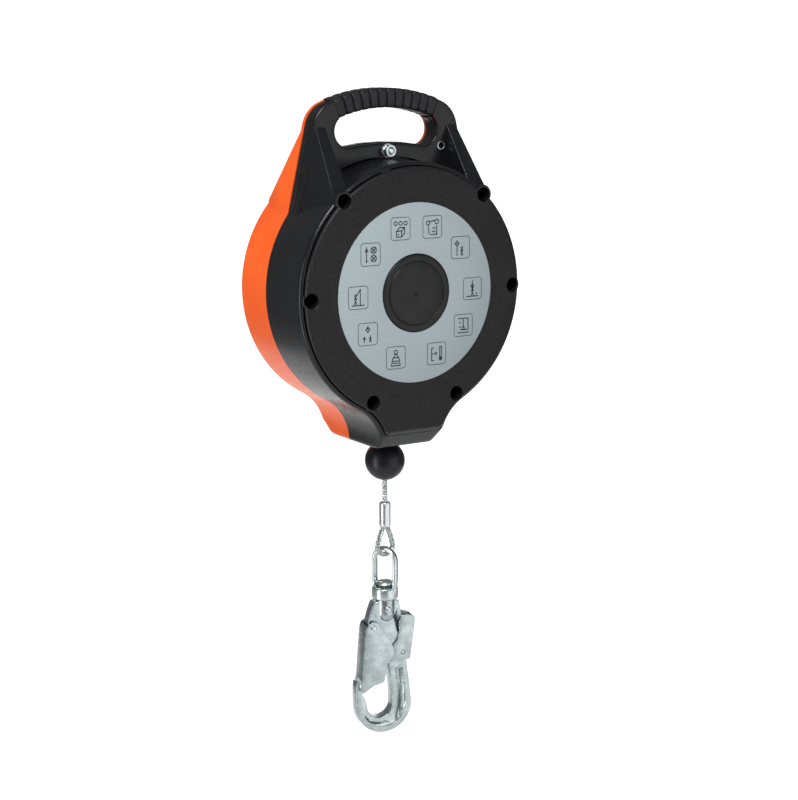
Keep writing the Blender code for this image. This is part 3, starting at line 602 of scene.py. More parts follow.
def wire_rope(path):
    """A core and twisted strands, each with the ridges of its own wires."""
    sides = 18
    spots = frames_along(resampled(path, ROPE_STEP))
    travelled = [0.0]
    for (a, _, _), (b, _, _) in zip(spots, spots[1:]):
        travelled.append(travelled[-1] + (b - a).length)
    strand_radius = ROPE_RADIUS * 0.335
    orbit = ROPE_RADIUS - strand_radius * 1.06
    shapes = []
    for strand in range(STRANDS + 1):
        core = strand == STRANDS
        rows = []
        for (spot, u, v), s in zip(spots, travelled):
            turn = 2 * pi * (strand / STRANDS + s / ROPE_LAY)
            out = u * cos(turn) + v * sin(turn)
            side = v * cos(turn) - u * sin(turn)
            middle = spot if core else spot + out * orbit
            row = []
            for i in range(sides):
                a = 2 * pi * i / sides
                ridge = 1 + 0.10 * cos(WIRES * a - 2 * pi * s / WIRE_LAY)
                reach = strand_radius * (0.9 if core else ridge)
                row.append(middle + (out * cos(a) + side * sin(a)) * reach)
            rows.append(row)
        shapes.append(stack(rows))
    return merge(*shapes)


def make_lifeline():
    """The rope from the outlet to its sleeve, a fixed mesh left without a parent; the real rope pays out of the outlet
    as the hook goes down.
    """
    bottom = FERRULE_TOP - 1.0
    route = [(0, ROPE_Y, ROPE_TOP + (bottom - ROPE_TOP) * i / 24) for i in range(25)]
    rope = mesh_object("lifeline_strands", wire_rope(route))
    finish(rope, None, WIRE, "wire_rope", "lifeline_rope", 50)
    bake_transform(rope)

    neck = ROPE_RADIUS + 0.1
    top = FERRULE_BOTTOM + 4.0
    low = FERRULE_BOTTOM
    control = [(-neck, low), (-neck - 0.5, low - 3.0), (-neck - 3.2, low - 9.0)]
    left = [(-neck, top)] + control
    arch = arc((0, LOOP_CENTRE_Z), LOOP_RADIUS, 180, 360, 16)
    line = left + arch + [(-x, z) for x, z in reversed(left)]
    for _ in range(2):
        line = [line[0]] + [tuple(Vector(a).lerp(Vector(b), t)) for a, b in zip(line, line[1:])
                            for t in (0.25, 0.75)] + [line[-1]]
    loop = piece("loop_strands", wire_rope([(x, ROPE_Y, z) for x, z in line]),
                 "lifeline", WIRE, "wire_rope", "rope_loop", 50)

    flat = 5.15
    sleeve = [(ROPE_RADIUS + 0.25, FERRULE_TOP), (4.3, FERRULE_TOP), (flat, FERRULE_TOP - 1.2),
              (flat + 0.1, FERRULE_TOP - 6.0), (flat, FERRULE_BOTTOM + 6.0), (flat + 0.1, FERRULE_BOTTOM + 1.4),
              (4.7, FERRULE_BOTTOM), (3.6, FERRULE_BOTTOM + 0.2), (3.4, FERRULE_BOTTOM + 2.0),
              (ROPE_RADIUS + 0.25, FERRULE_TOP - 2.0)]
    shape = lathe(eased(sleeve, 0.7), 48, "Z")
    for vertex in shape.verts:
        if abs(vertex.co.y) > CRIMP_HALF:
            vertex.co.y *= CRIMP_HALF / abs(vertex.co.y)
    ferrule = piece("crimped_sleeve", at(shape, (0, ROPE_Y, 0)),
                    "lifeline", SLEEVE, "aluminium", "rope_ferrule", 40)

    bore = ROPE_RADIUS + 0.3
    tilt = asin(sqrt(BALL_RADIUS ** 2 - bore ** 2) / BALL_RADIUS)
    steps = 48
    ball = [(BALL_RADIUS * cos(-tilt + 2 * tilt * i / steps), BALL_RADIUS * sin(-tilt + 2 * tilt * i / steps))
            for i in range(steps + 1)]
    ball = [(bore, ball[0][1] + 0.5)] + [(bore + 0.5, ball[0][1])] + ball[1:-1]
    ball += [(bore + 0.5, -ball[1][1]), (bore, -ball[1][1] - 0.5)]
    shape = lathe(ball, 96, "Z")
    for vertex in shape.verts:
        across = vertex.co.x * cos(PARTING_TURN) + vertex.co.y * sin(PARTING_TURN)
        if abs(across) < 0.45 and vertex.co.length > BALL_RADIUS - 0.5:
            vertex.co *= 1 + 0.16 / BALL_RADIUS
    bumper = piece("rubber_ball", at(shape, (0, ROPE_Y, BALL_Z)),
                   "lifeline", BALL, "bumper_rubber", "ball_bumper", 50)


def make_winding():
    """The rest of the rope, wound on the drum in layers: its whole length is in its turns."""
    low, high = DRUM_FRONT + ROPE_RADIUS, DRUM_REAR - ROPE_RADIUS
    per_layer = (high - low) / WOUND_PITCH
    steps = 28
    points, travelled, turn = [], 0.0, 0.0
    while travelled < WOUND_LENGTH:
        layer = int(turn / per_layer)
        share = turn / per_layer - layer
        y = low + (high - low) * (share if layer % 2 == 0 else 1 - share)
        radius = WOUND_FIRST + WOUND_LAYER * (layer + max(0.0, share - 0.9) * 10)
        a = pi / 2 - 2 * pi * turn
        points.append((radius * cos(a), y, radius * sin(a)))
        turn += 1 / steps
        travelled += 2 * pi * radius / steps
    rows = [[spot + (u * cos(pi * i / 4) + v * sin(pi * i / 4)) * ROPE_RADIUS for i in range(8)]
            for spot, u, v in frames_along(points)]
    piece("rope_winding", stack(rows), "drum", WIRE, "wire_rope", "wound_rope", 50)


# ---------------------------------------------------------------- housing

def body_ring(inset, y, bottom, corner=4.5):
    """The round body with its spout, pulled in by `inset` and cut off at `bottom`."""
    radius, blend = BODY_RADIUS - inset, SPOUT_BLEND + inset
    side = SPOUT_HALF + SPOUT_BLEND
    level = -sqrt((radius + blend) ** 2 - side ** 2)
    meet = asin(-level / (radius + blend))

    def edge(z):
        rise = max(z - level, 0.0)
        return side - sqrt(blend ** 2 - rise ** 2)

    low = max(bottom, SPOUT_BOTTOM)
    corner_x, top_z = edge(low), low + corner
    a, b, c = Vector((corner_x - corner, low)), Vector((corner_x, low)), Vector((edge(top_z), top_z))
    right = [(0.0, low), (a.x * 0.5, low)]
    for i in range(7):
        t = i / 6
        spot = a * (1 - t) ** 2 + b * 2 * t * (1 - t) + c * t ** 2
        right.append((spot.x, spot.y))
    start = 180 - asin(min(1.0, max(0.0, top_z - level) / blend)) * 180 / pi
    right += arc((side, level), blend, start, 180 - meet * 180 / pi, 12)[1:]
    right += arc((0, 0), radius, -meet * 180 / pi, 90, 60)[1:]
    return [(x, y, z) for x, z in mirrored(right)]


def sloped(y, edge_y, direction):
    """How high the spout's bottom is at depth y, with the slope's corner softened."""
    past = (edge_y - y) * direction
    return SPOUT_BOTTOM + 0.5 * (past + sqrt(past * past + 6.0)) - 0.1


def handle_ring(inset, y):
    arc_centre = HANDLE_TOP - TOP_ARC
    heading = -asin(ARC_HALF / TOP_ARC)
    start_z = arc_centre + sqrt(TOP_ARC ** 2 - ARC_HALF ** 2)
    corner = (ARC_HALF + CORNER_ARC * sin(heading), start_z - CORNER_ARC * cos(heading))
    corner_top = 90 + heading * 180 / pi
    corner_end = 90 - SIDE_TILT * 180 / pi
    side_start = arc(corner, CORNER_ARC - inset, corner_end, corner_top, 14)
    foot_z = 62.0
    foot_x = side_start[0][0] + (side_start[0][1] - foot_z) / SIDE_SLOPE
    right = [(0.0, foot_z), (foot_x, foot_z)] + side_start
    right += arc((0, arc_centre), TOP_ARC - inset, corner_top, 90, 20)[1:]
    return [(x, y, z) for x, z in mirrored(right)]


def hole_ring(grow, y):
    """The handle opening; its underside is a shallow arch too."""
    end_z = GRIP_BOTTOM - (HOLE_TOP_ARC - sqrt(HOLE_TOP_ARC ** 2 - HOLE_END ** 2)) - HOLE_END_RADIUS
    right = [(0.0, HOLE_BOTTOM - grow), (20.0, HOLE_BOTTOM - 0.8 - grow)]
    right += arc((HOLE_END, end_z), HOLE_END_RADIUS + grow, -90, 74, 24)
    right += arc((0, GRIP_BOTTOM - HOLE_TOP_ARC), HOLE_TOP_ARC + grow, 78, 90, 8)
    return [(x, y, z) for x, z in mirrored(right)]


def arched(section, half, shares=None):
    """A section of (offset from the handle's top, y) points, swept along the arch."""
    middle = HANDLE_TOP - TOP_ARC
    reach = asin(half / TOP_ARC)
    rings = []
    for share in shares or [i / 30 for i in range(31)]:
        a = pi / 2 - reach + 2 * reach * share
        here = section(share) if callable(section) else section
        rings.append([((TOP_ARC + up) * cos(a), y, middle + (TOP_ARC + up) * sin(a)) for up, y in here])
    return stack(rings)


def rib(side, front):
    """The wedge from the top of a handle leg out to the rim of the body."""
    if front:
        root_y, edge_y = HANDLE_FRONT + 1.0, FRONT_Y + 6.5
        root = [(71.5, 142.5), (62.0, 142.5), (62.0, 62.0), (86.5, 62.0), (86.5, 74.0), (79.0, 105.0)]
        edge = [(62.0, 85.5), (78.0, 85.5), (78.0, 62.0), (62.0, 62.0)]
    else:
        root_y, edge_y = HANDLE_REAR - 1.0, REAR_Y - 9.0
        root = [(74.2, 138.5), (64.0, 138.5), (64.0, 62.0), (90.0, 62.0), (88.0, 77.0)]
        edge = [(76.0, 77.0), (88.0, 77.0), (88.0, 62.0), (76.0, 62.0)]
    points = [(side * x, root_y, z) for x, z in root] + [(side * x, edge_y, z) for x, z in edge]
    return soften(hull(points), 0.8, 3)


def grooved(front):
    """The handle's rounded front or rear edge with thin grooves along its side."""
    face, sign = (HANDLE_FRONT, 1) if front else (HANDLE_REAR, -1)
    profile = [(1.7, 0.0), (0.85, 0.2), (0.35, 0.7), (0.2, 1.4)]
    if front:
        profile += [(0.25, 1.7), (1.0, 2.0), (1.0, 2.5), (0.2, 2.8), (0.0, 3.2), (0.0, 3.8), (0.2, 4.2), (0.8, 4.6),
                    (0.8, 8.0), (0.2, 8.3), (0.0, 8.7), (0.2, 9.1), (0.7, 9.4), (0.7, 15.9)]
    else:
        profile += [(0.0, 1.9), (0.0, 4.8)]
    rings = [handle_ring(inset, face + sign * depth) for inset, depth in profile]
    rings.append(handle_ring(0.7 if front else 0.0, -sign * SEAM))
    return stack(rings)


def opening_tool():
    profile = [(7.0, HANDLE_FRONT - 6.0), (2.3, HANDLE_FRONT - 0.6), (1.5, HANDLE_FRONT), (0.8, HANDLE_FRONT + 0.3),
               (0.25, HANDLE_FRONT + 0.9), (0.0, HANDLE_FRONT + 1.8), (0.0, HANDLE_FRONT + 8.0),
               (-0.7, HANDLE_FRONT + 8.4), (-0.7, -0.4), (0.0, 0.4), (0.0, HANDLE_REAR - 1.4),
               (0.4, HANDLE_REAR - 0.4), (1.4, HANDLE_REAR + 0.3), (7.0, HANDLE_REAR + 6.0)]
    return stack([hole_ring(grow, y) for grow, y in profile])


def slot_tool():
    slot = arc((0, 0), SLOT_OUTER, 90 - SLOT_HALF_ANGLE, 90 + SLOT_HALF_ANGLE, 30)
    slot += arc((0, 0), BODY_RADIUS + 0.06, 90 + SLOT_HALF_ANGLE, 90 - SLOT_HALF_ANGLE, 30)
    return prism(slot, -30, -3)


def shell(name, front):
    """One half of the housing, hollow, with its half of the handle."""
    sign = 1 if front else -1
    outer_y = FRONT_Y if front else REAR_Y
    seam_y = -SEAM if front else SEAM
    if front:
        slope_edge = FRONT_Y + CHAMFER
        profile = [(6.1, 0.0), (5.65, 0.1), (5.0, 0.6), (4.45, 1.15), (4.1, 1.75), (4.0, 2.2), (4.0, 5.1), (3.85, 5.4),
                   (3.4, 5.4), (3.2, 5.0), (3.1, 4.6)]
        for i in range(9):
            turn = pi / 2 * i / 8
            profile.append((2.9 * (1 - sin(turn)), 4.3 + 4.0 * (1 - cos(turn))))
        profile += [(0.0, y) for y in (9.5, 11, 13, 15, 16, 17, 18, 19, 20, 21, 22, 24, 27, 32)]
    else:
        slope_edge = REAR_Y - REAR_CHAMFER
        profile = [(4.2, 0.0), (3.0, 0.18), (1.9, 0.7), (1.0, 1.5), (0.35, 2.8), (0.05, 4.2)]
        profile += [(0.0, y) for y in (6, 8, 10, 11, 12, 13, 14, 15, 16, 17, 19, 22, 27)]
    rings = []
    for inset, depth in profile:
        y = outer_y + sign * depth
        rings.append(body_ring(inset, y, sloped(y, slope_edge, sign)))
    rings.append(body_ring(0.0, seam_y, SPOUT_BOTTOM))
    item = mesh_object(name, stack(rings))

    handle_y = HANDLE_FRONT if front else HANDLE_REAR
    bosses = []
    for x, z in SCREWS[1:3]:
        foot = abs(outer_y) + sign * seam_y
        boss = [(0, 1.0), (7.4, 1.0), (8.2, 1.3), (8.6, 2.1), (8.6, foot), (0, foot)]
        boss = [(r, outer_y + sign * y) for r, y in boss]
        bosses.append(at(lathe(boss, 40), (x, 0, z)))
    join(item, grooved(front), rib(-1, front), rib(1, front), *bosses)

    inner = [body_ring(WALL, outer_y + sign * 3.8, -114.0, 2.0), body_ring(WALL, outer_y + sign * 23.0, -130.0, 2.0),
             body_ring(WALL, seam_y + sign * 8, SPOUT_BOTTOM + WALL, 2.0)]
    bare = 2.3
    depth = HANDLE_TOP - GRIP_BOTTOM
    groove = [(8, handle_y - sign * 5), (8, seam_y + sign * 6), (-bare, seam_y + sign * 6),
              (-bare, handle_y + sign * bare), (-depth + bare, handle_y + sign * bare),
              (-depth + bare, seam_y + sign * 6), (-depth - 7, seam_y + sign * 6), (-depth - 7, handle_y - sign * 5)]
    cut(item, stack(inner), opening_tool(), slot_tool(), arched(groove, GRIP_HALF + 0.3),
        at(cylinder(3.3, -31, 31), (BOLT[0], 0, BOLT[1])), at(cylinder(3.2, -31, 31), (EYELET[0], 0, EYELET[1])))

    pillars = [at(cylinder(7.9, outer_y + sign * 2.6, seam_y), (x, 0, z)) for x, z in SCREWS]
    join(item, *pillars)
    wells = []
    for x, z in SCREWS:
        if front:
            well = [(0, FRONT_Y - 2), (SCREW_HOLE + 2.6, FRONT_Y - 2), (SCREW_HOLE + 0.6, FRONT_Y + 0.0),
                    (SCREW_HOLE + 0.1, FRONT_Y + 0.5), (SCREW_HOLE, FRONT_Y + 1.2), (SCREW_HOLE, -34.0),
                    (2.6, -34.0), (2.6, 9.0), (0, 9.0)]
        else:
            well = [(0, -12.0), (2.6, -12.0), (2.6, 26.0), (0, 26.0)]
        wells.append(at(lathe(well, 40), (x, 0, z)))
    strap = prism([(-13.3, 90), (13.3, 90), (13.3, 124.5), (-13.3, 124.5)], -2.8, 2.8)
    outlet = at(cylinder(10.8, -145, -128, 40, "Z"), (0, ROPE_Y, 0))
    tools = [strap, outlet] + wells
    if front:
        tools.append(cylinder(CAP_RADIUS + 0.3, FRONT_Y - 2, FRONT_Y + 6, 96))
    cut(item, *tools)
    return item


def make_shells():
    cover = shell("front_shell", True)
    finish(cover, "housing", [SIDE, FACE], "black_shell", "front_cover", 32)
    for face in cover.data.polygons:
        if face.normal.y < -0.5 and face.center.y < (FRONT_Y + 0.9) * MM:
            face.material_index = 1
    back = shell("rear_shell", False)
    finish(back, "housing", ORANGE, "orange_shell", "rear_cover", 32)


def make_grip():
    """The rubber sleeve over the handle bar, with ribs across it."""
    low, high = HANDLE_FRONT - 0.8, HANDLE_REAR + 0.8
    depth = HANDLE_TOP - GRIP_BOTTOM
    mid_y, half_y = (low + high) / 2, (high - low) / 2
    corners = eased([(u + 100, y) for u, y in [(0.8, low), (0.8, high), (-depth, high), (-depth, low)]], 4.2, 6)
    corners = [(u - 100, y) for u, y in corners]

    pitch = 2 * GRIP_HALF / GRIP_RIBS
    profile = [(0.0, 2.0), (0.35, 2.0), (0.6, 0.75), (0.95, 0.3), (1.6, 0.08), (3.0, 0.0), (pitch / 2, 0.0)]
    places = {}
    for groove in range(GRIP_RIBS + 1):
        for off, dip in profile:
            for place in (groove * pitch - off, groove * pitch + off):
                if 0 <= place <= 2 * GRIP_HALF:
                    places[round(place, 3)] = dip if 0 < groove < GRIP_RIBS else dip * 0.45
    dips = {place / (2 * GRIP_HALF): dip for place, dip in places.items()}

    def section(share):
        scale_u, scale_y = 1 - dips[share] / 8.6, 1 - dips[share] / half_y
        middle = (0.8 - depth) / 2
        return [(middle + (u - middle) * scale_u, mid_y + (y - mid_y) * scale_y) for u, y in corners]

    sleeve = mesh_object("ribbed_grip", arched(section, GRIP_HALF, sorted(dips)))
    bar = eased([(100 - 2.0, HANDLE_FRONT + 2.0), (100 - 2.0, HANDLE_REAR - 2.0),
                 (100 - depth + 2.0, HANDLE_REAR - 2.0), (100 - depth + 2.0, HANDLE_FRONT + 2.0)], 1.0, 2)
    cut(sleeve, arched([(u - 100, y) for u, y in bar], GRIP_HALF + 6))
    finish(sleeve, "housing", GRIP, "grip_rubber", "handle_grip", 40)


def stroke(points, width, y0, y1):
    """A thin printed line through points, as closed bars with round ends."""
    shapes = []
    for a, b in zip(points, points[1:]):
        a, b = Vector(a), Vector(b)
        along = (b - a).normalized() * width / 2
        across = Vector((-along.y, along.x))
        outline = [a - across, b - across, b + along, b + across, a + across, a - along]
        shapes.append(prism([(p.x, p.y) for p in outline], y0, y1))
    return shapes


def hoop(x, z, radius, width, y0, y1):
    profile = [(radius - width / 2, y0), (radius + width / 2, y0), (radius + width / 2, y1), (radius - width / 2, y1)]
    return at(lathe(profile, 28), (x, 0, z))


def frame_line(x, z, half, corner, width, y0, y1):
    """A square outline with round corners."""
    rings = []
    for grow, y in ((-width / 2, y0), (width / 2, y0), (width / 2, y1), (-width / 2, y1)):
        points = []
        for quarter in range(4):
            cx = (half - corner) * (1, -1, -1, 1)[quarter]
            cz = (half - corner) * (1, 1, -1, -1)[quarter]
            points += arc((cx, cz), corner + grow, 90 * quarter, 90 * quarter + 90, 6)
        rings.append([(x + px, y, z + pz) for px, pz in points])
    return stack(rings, True)


def person(x, z, size):
    """A plain figure: body, arms and legs; its head is a separate disc."""
    return [[(x, z + 0.62 * size), (x, z)], [(x - 0.28 * size, z + 0.2 * size), (x, z + 0.55 * size)],
            [(x + 0.28 * size, z + 0.2 * size), (x, z + 0.55 * size)], [(x - 0.22 * size, z - 0.6 * size), (x, z)],
            [(x + 0.22 * size, z - 0.6 * size), (x, z)]]


def pictograms():
    """Ten made-up signs: lines, discs and hoops within a 16 mm square."""
    return [
        ([[(-4, -7), (1, -7), (1, -2), (-4, -2), (-4, -7)], [(-4, -2), (-1, 1), (4, 1), (1, -2)],
         [(4, 1), (4, -4), (1, -7)]], [(-5, 4.6, 1.6), (0, 4.6, 1.6), (5, 4.6, 1.6)], [(-2, -5, 0.7)]),
        ([[(-3, 4.5), (3, 5.5)], [(-4, 1), (-3.4, -6)], [(-1.5, -6.5), (4.5, -6.5), (4.5, 1)],
         [(0, -1), (3, -1)], [(0, -4), (3, -4)]], [(-4.4, 3.6, 1.7), (4.6, 4.4, 1.9)], [(4.5, -6.5, 0.8)]),
        (person(1.6, -4.2, 4.6) + [[(-3.5, 6), (-1.5, 3.5), (-3.5, 1), (-5.5, 3.5), (-3.5, 6)],
         [(-3.5, 1), (-3.5, -7)]], [(1.6, -0.2, 0.8)], [(-3.5, 3.5, 0.8)]),
        ([[(0, 7), (0, 3)], [(-1.6, 3), (1.6, 3), (0, 0), (-1.6, 3)], [(-6, -6.8), (6, -6.8)]]
         + person(0, -3.2, 4.6), [(0, 0.9, 0.9)], [(4.4, -4.5, 0.8)]),
        ([[(-5, 6), (5, 6)], [(5, 6), (5, -4), (-3, -4)], [(-6, -6.5), (6, -6.5)], [(0, 5), (0, -2)]],
         [(0, -2.6, 1.2)], [(-3.6, -1.6, 0.8), (-3.6, 2.4, 0.8)]),
        ([[(3.4, 6), (3.4, -3)], [(5.2, 6), (5.2, -3)], [(3.4, 6), (5.2, 6)], [(-5, 5), (-5, -6)],
         [(-5, 5), (-3, 5)], [(-5, -6), (-3, -6)], [(-5, 0), (-3.6, 0)]], [(-0.8, 0.2, 1.0)], [(4.3, -4.6, 1.9)]),
        ([[(-4.5, -7), (-3, 0), (3, 0), (4.5, -7), (-4.5, -7)], [(-2.6, -3), (2.6, -3)],
         [(-2.8, -4.8), (2.8, -4.8)], [(-2, 0), (-1, 3), (1, 3), (2, 0)]], [(0, 4.8, 1.7)], []),
        ([[(0, 7), (0, 4)], [(-2, 4), (0, 1.5), (2, 4), (0, 6), (-2, 4)], [(-3.5, -7), (-3.5, -2.5)],
         [(-4.6, -4), (-3.5, -2.5), (-2.4, -4)]] + person(2.4, -4.6, 3.4), [], [(2.4, -1.6, 0.6)]),
        (person(-2.6, -2.6, 5.0) + [[(-2.6, 0.6), (2.0, 6.6)], [(-6, -6.6), (6, -6.6)],
         [(2.0, 6.6), (2.0, -6.6)]], [(-2.6, 1.9, 0.9)], [(2.0, 6.6, 0.8)]),
        ([[(-4, 6), (-4, -6)], [(-5.6, 2), (-4, 4.5), (-2.4, 2)], [(1, 5.5), (5, 1.5)], [(1, 1.5), (5, 5.5)],
         [(1, -1.5), (5, -5.5)], [(1, -5.5), (5, -1.5)]], [(3, 3.5, 2.7), (3, -3.5, 2.7)], [(-4, -6, 0.9)]),
    ]


def make_label():
    y = FRONT_Y - 0.05
    film = [(CAP_RADIUS + 0.6, y), (CAP_RADIUS + 0.6, y - 0.38), (CAP_RADIUS + 0.8, y - 0.5),
            (LABEL_RADIUS - 0.25, y - 0.5), (LABEL_RADIUS, y - 0.36), (LABEL_RADIUS, y)]
    piece("label_sheet", lathe(film, 192), "housing", LABEL, "label_film", "label_ring", 30)
    front, back = y - 0.54, y - 0.5
    shapes = []
    angles = [106, 74, 39, 0, -33, -69, -111, -147, 180, 142]
    orbit = 58.5
    for (lines, rings, discs), angle in zip(pictograms(), angles):
        x, z = orbit * cos(radians(angle)), orbit * sin(radians(angle))
        shapes.append(frame_line(x, z, 9.6, 2.6, 0.55, front, back))
        for line in lines:
            shapes += stroke([(x + u, z + v) for u, v in line], 0.95, front, back)
        shapes += [hoop(x + u, z + v, r, 0.9, front, back) for u, v, r in rings]
        shapes += [at(cylinder(r, front, back, 20), (x + u, 0, z + v)) for u, v, r in discs]
    piece("label_print", merge(*shapes), "housing", INK, "label_film", None, 30)

    cap = [(0, FRONT_Y + 2.2), (0, FRONT_Y - 0.55), (0.8, FRONT_Y - 0.7), (1.6, FRONT_Y - 1.3), (2.1, FRONT_Y - 1.62),
           (2.9, FRONT_Y - 1.66), (14.0, FRONT_Y - 1.62), (26.6, FRONT_Y - 1.58), (27.1, FRONT_Y - 1.35),
           (27.5, FRONT_Y - 0.95), (27.9, FRONT_Y - 1.35), (28.4, FRONT_Y - 1.58), (32.0, FRONT_Y - 1.5),
           (33.0, FRONT_Y - 1.2), (33.5, FRONT_Y - 0.6), (CAP_RADIUS, FRONT_Y + 0.2), (CAP_RADIUS, FRONT_Y + 3.2),
           (31.0, FRONT_Y + 3.2), (31.0, FRONT_Y + 2.2)]
    piece("hub_disc", lathe(cap, 128), "housing", CAP, "black_cap", "hub_cap")


# ---------------------------------------------------------------- fasteners

def hex_nut(radius, bore, low, high):
    """A chamfered hexagon, as the common part of a prism and a double cone."""
    item = mesh_object("nut", cylinder(radius, low, high, 6))
    flat = radius * cos(pi / 6)
    rise = (radius - flat) * 0.75
    cone = [(0, low), (flat * 0.98, low), (radius + 0.1, low + rise), (radius + 0.1, high - rise),
            (flat * 0.98, high), (0, high)]
    combine(item, "INTERSECT", lathe(cone, 72))
    if bore:
        hole = [(0, low - 1), (bore + 0.9, low - 1), (bore + 0.6, low), (bore, low + 1.4), (bore, high - 0.7),
                (bore + 0.7, high), (bore + 0.7, high + 1), (0, high + 1)]
        cut(item, lathe(hole, 48))
    return item


def moved_object(item, name, spot, turn):
    item.name = name
    item.data.transform(Matrix.Translation((0, 0, -DRUM_Z * MM)))
    item.data.transform(Matrix.Rotation(turn, 4, "Y"))
    item.data.transform(Matrix.Translation((spot[0] * MM, 0, (DRUM_Z + spot[1]) * MM)))
    return item


def thread(radius, low, high):
    """A bolt's end with rings for its thread."""
    profile = [(0, low), (radius - 1.3, low), (radius - 1.1, low + 0.2), (radius - 0.5, low + 1.4)]
    y = low + 1.6
    while y < high - THREAD_PITCH:
        profile += [(radius - 0.45, y), (radius, y + THREAD_PITCH * 0.4), (radius, y + THREAD_PITCH * 0.55)]
        y += THREAD_PITCH
    profile += [(radius - 0.4, high), (0, high)]
    return lathe(profile, 40)


def make_fasteners():
    nut = moved_object(hex_nut(5.8, 3.05, -23.4, -18.5), "anchor_nut_hex", BOLT, radians(12))
    finish(nut, "housing", SMOOTH_ZINC, "zinc_steel", "anchor_nut", 30)
    washer = eased([(3.2, -18.2), (6.2, -18.2), (6.2, -16.8), (3.2, -16.8)], 0.3, 2)
    piece("anchor_washer_disc", at(lathe(washer, 64), (BOLT[0], 0, BOLT[1])),
          "housing", SMOOTH_ZINC, "zinc_steel", "anchor_washer", 30)
    shank = mesh_object("anchor_bolt_shank", at(thread(3.0, -24.0, -16.0), (BOLT[0], 0, BOLT[1])))
    back = HANDLE_REAR + 0.4
    head = [(0, -16.4), (2.9, -16.4), (2.9, back), (5.2, back), (5.2, back + 0.6), (5.0, back + 2.8), (4.4, back + 3.4),
            (2.6, back + 3.4), (2.4, back + 1.2), (0, back + 1.0)]
    join(shank, at(lathe(head, 48), (BOLT[0], 0, BOLT[1])))
    finish(shank, "housing", SMOOTH_ZINC, "zinc_steel", "anchor_bolt", 30)

    back = HANDLE_REAR + 0.3
    tube = [(2.6, -16.9), (2.75, -17.5), (3.3, -17.8), (3.9, -17.6), (4.15, -16.9), (3.0, -16.7), (3.0, back),
            (4.1, back), (3.9, back + 0.6), (3.3, back + 0.8), (2.8, back + 0.6), (2.6, back + 0.2)]
    eyelet = mesh_object("eyelet_tube", at(lathe(tube, 48), (EYELET[0], 0, EYELET[1])))
    # The dark steel second material is painted shade: it goes on the faces inside the zinc rivet's bore.
    finish(eyelet, "housing", [SMOOTH_ZINC, DARK], "zinc_steel", "eyelet_rivet", 40)
    for face in eyelet.data.polygons:
        off = face.center - Vector((EYELET[0], 0, EYELET[1] + DRUM_Z)) * MM
        if Vector((off.x, off.z)).length < 2.65 * MM:
            face.material_index = 1

    for number, (x, z) in enumerate(SCREWS, 1):
        head = [(0, -38.4), (1.9, -38.4), (2.1, -40.0), (3.6, -40.2), (4.5, -39.6), (4.8, -38.6), (4.8, -34.5),
                (4.5, -34.4), (2.0, -34.4), (2.0, 23.0), (0, 25.4)]
        piece("screw_%d" % number, at(lathe(head, 32), (x, 0, z)),
              "housing", DARK, "dark_steel", "housing_screw_%d" % number)

    bush = [(4.5, -138.0), (10.5, -138.0), (10.5, -134.8), (13.5, -134.8), (13.5, -131.0), (7.0, -128.0),
            (3.9, -129.6), (3.2, -132.0), (3.2, -136.0), (3.6, -137.4)]
    piece("outlet_bush", at(lathe(eased(bush, 0.7), 56, "Z"), (0, ROPE_Y, 0)),
          "housing", NYLON, "nylon", "cable_guide")


# ---------------------------------------------------------------- swivel and hook

def hook_spot(s, z):
    return (s * cos(HOOK_TURN), ROPE_Y + s * sin(HOOK_TURN), z)


def hook_plane(shape, pivot=(0, 0)):
    """The shape moved to a pivot in the hook's plane, and turned with it."""
    shape.transform(Matrix.Translation((pivot[0], 0, pivot[1])))
    return at(shape, hook_spot(0, 0), HOOK_TURN)


def pin_hole(radius, pivot):
    return hook_plane(cylinder(radius, -12, 12), pivot)


def rivet(reach, head, rise, pivot, shank):
    """A headed pin through the hook, drawn across its plane."""
    end = [(0, reach + rise), (head * 0.45, reach + rise), (head * 0.8, reach + rise * 0.7),
           (head, reach + rise * 0.15), (head, reach), (shank, reach)]
    profile = [(radius, -height) for radius, height in end] + end[::-1]
    return hook_plane(lathe(profile, 36), pivot)


def make_swivel():
    radial, across = 4.4, 6.4
    mid = EYE_HALF - radial / 2
    arch_z = EYE_TOP - EYE_HALF
    path = [(-mid + 1.2, 0, BASE_BOTTOM + 2.0), (-mid + 0.7, 0, BASE_TOP), (-mid, 0, -268.0), (-mid, 0, -260.0)]
    path += [(mid * x, 0, arch_z + mid * z) for x, z in arc((0, 0), 1.0, 180, 0, 28)]
    path += [(mid, 0, -260.0), (mid, 0, -268.0), (mid - 0.7, 0, BASE_TOP), (mid - 1.2, 0, BASE_BOTTOM + 2.0)]
    bar = at(sweep(path, oval(across / 2, radial / 2, 28)), (0, ROPE_Y, 0), EYE_TURN)
    base = [(5.4, BASE_BOTTOM), (BASE_RADIUS, BASE_BOTTOM), (BASE_RADIUS, BASE_TOP - 1.0), (9.6, BASE_TOP),
            (5.4, BASE_TOP)]
    eye = mesh_object("swivel_link", at(lathe(eased(base, 1.3, 4), 72, "Z"), (0, ROPE_Y, 0)))
    join(eye, bar)
    finish(eye, "swivel", SMOOTH_ZINC, "zinc_steel", "swivel_eye", 40)

    stem = [(0, -269.0), (3.6, -269.2), (6.4, -270.2), (8.2, -271.8), (8.6, -272.7), (8.4, -273.0), (5.1, -273.0),
            (5.1, -300.0), (0, -300.0)]
    item = mesh_object("stem_head", at(lathe(stem, 56, "Z"), (0, ROPE_Y, 0)))
    cut(item, pin_hole(2.7, (0, BOSS_PIN_Z)))
    finish(item, "hook", SMOOTH_ZINC, "zinc_steel", "swivel_stem", 35)
    washer = eased([(5.4, -274.8), (8.8, -274.8), (8.8, -273.3), (5.4, -273.3)], 0.35, 3)
    piece("indicator_washer", at(lathe(washer, 56, "Z"), (0, ROPE_Y, 0)),
          "hook", GREEN, "indicator_plastic", "indicator_ring")


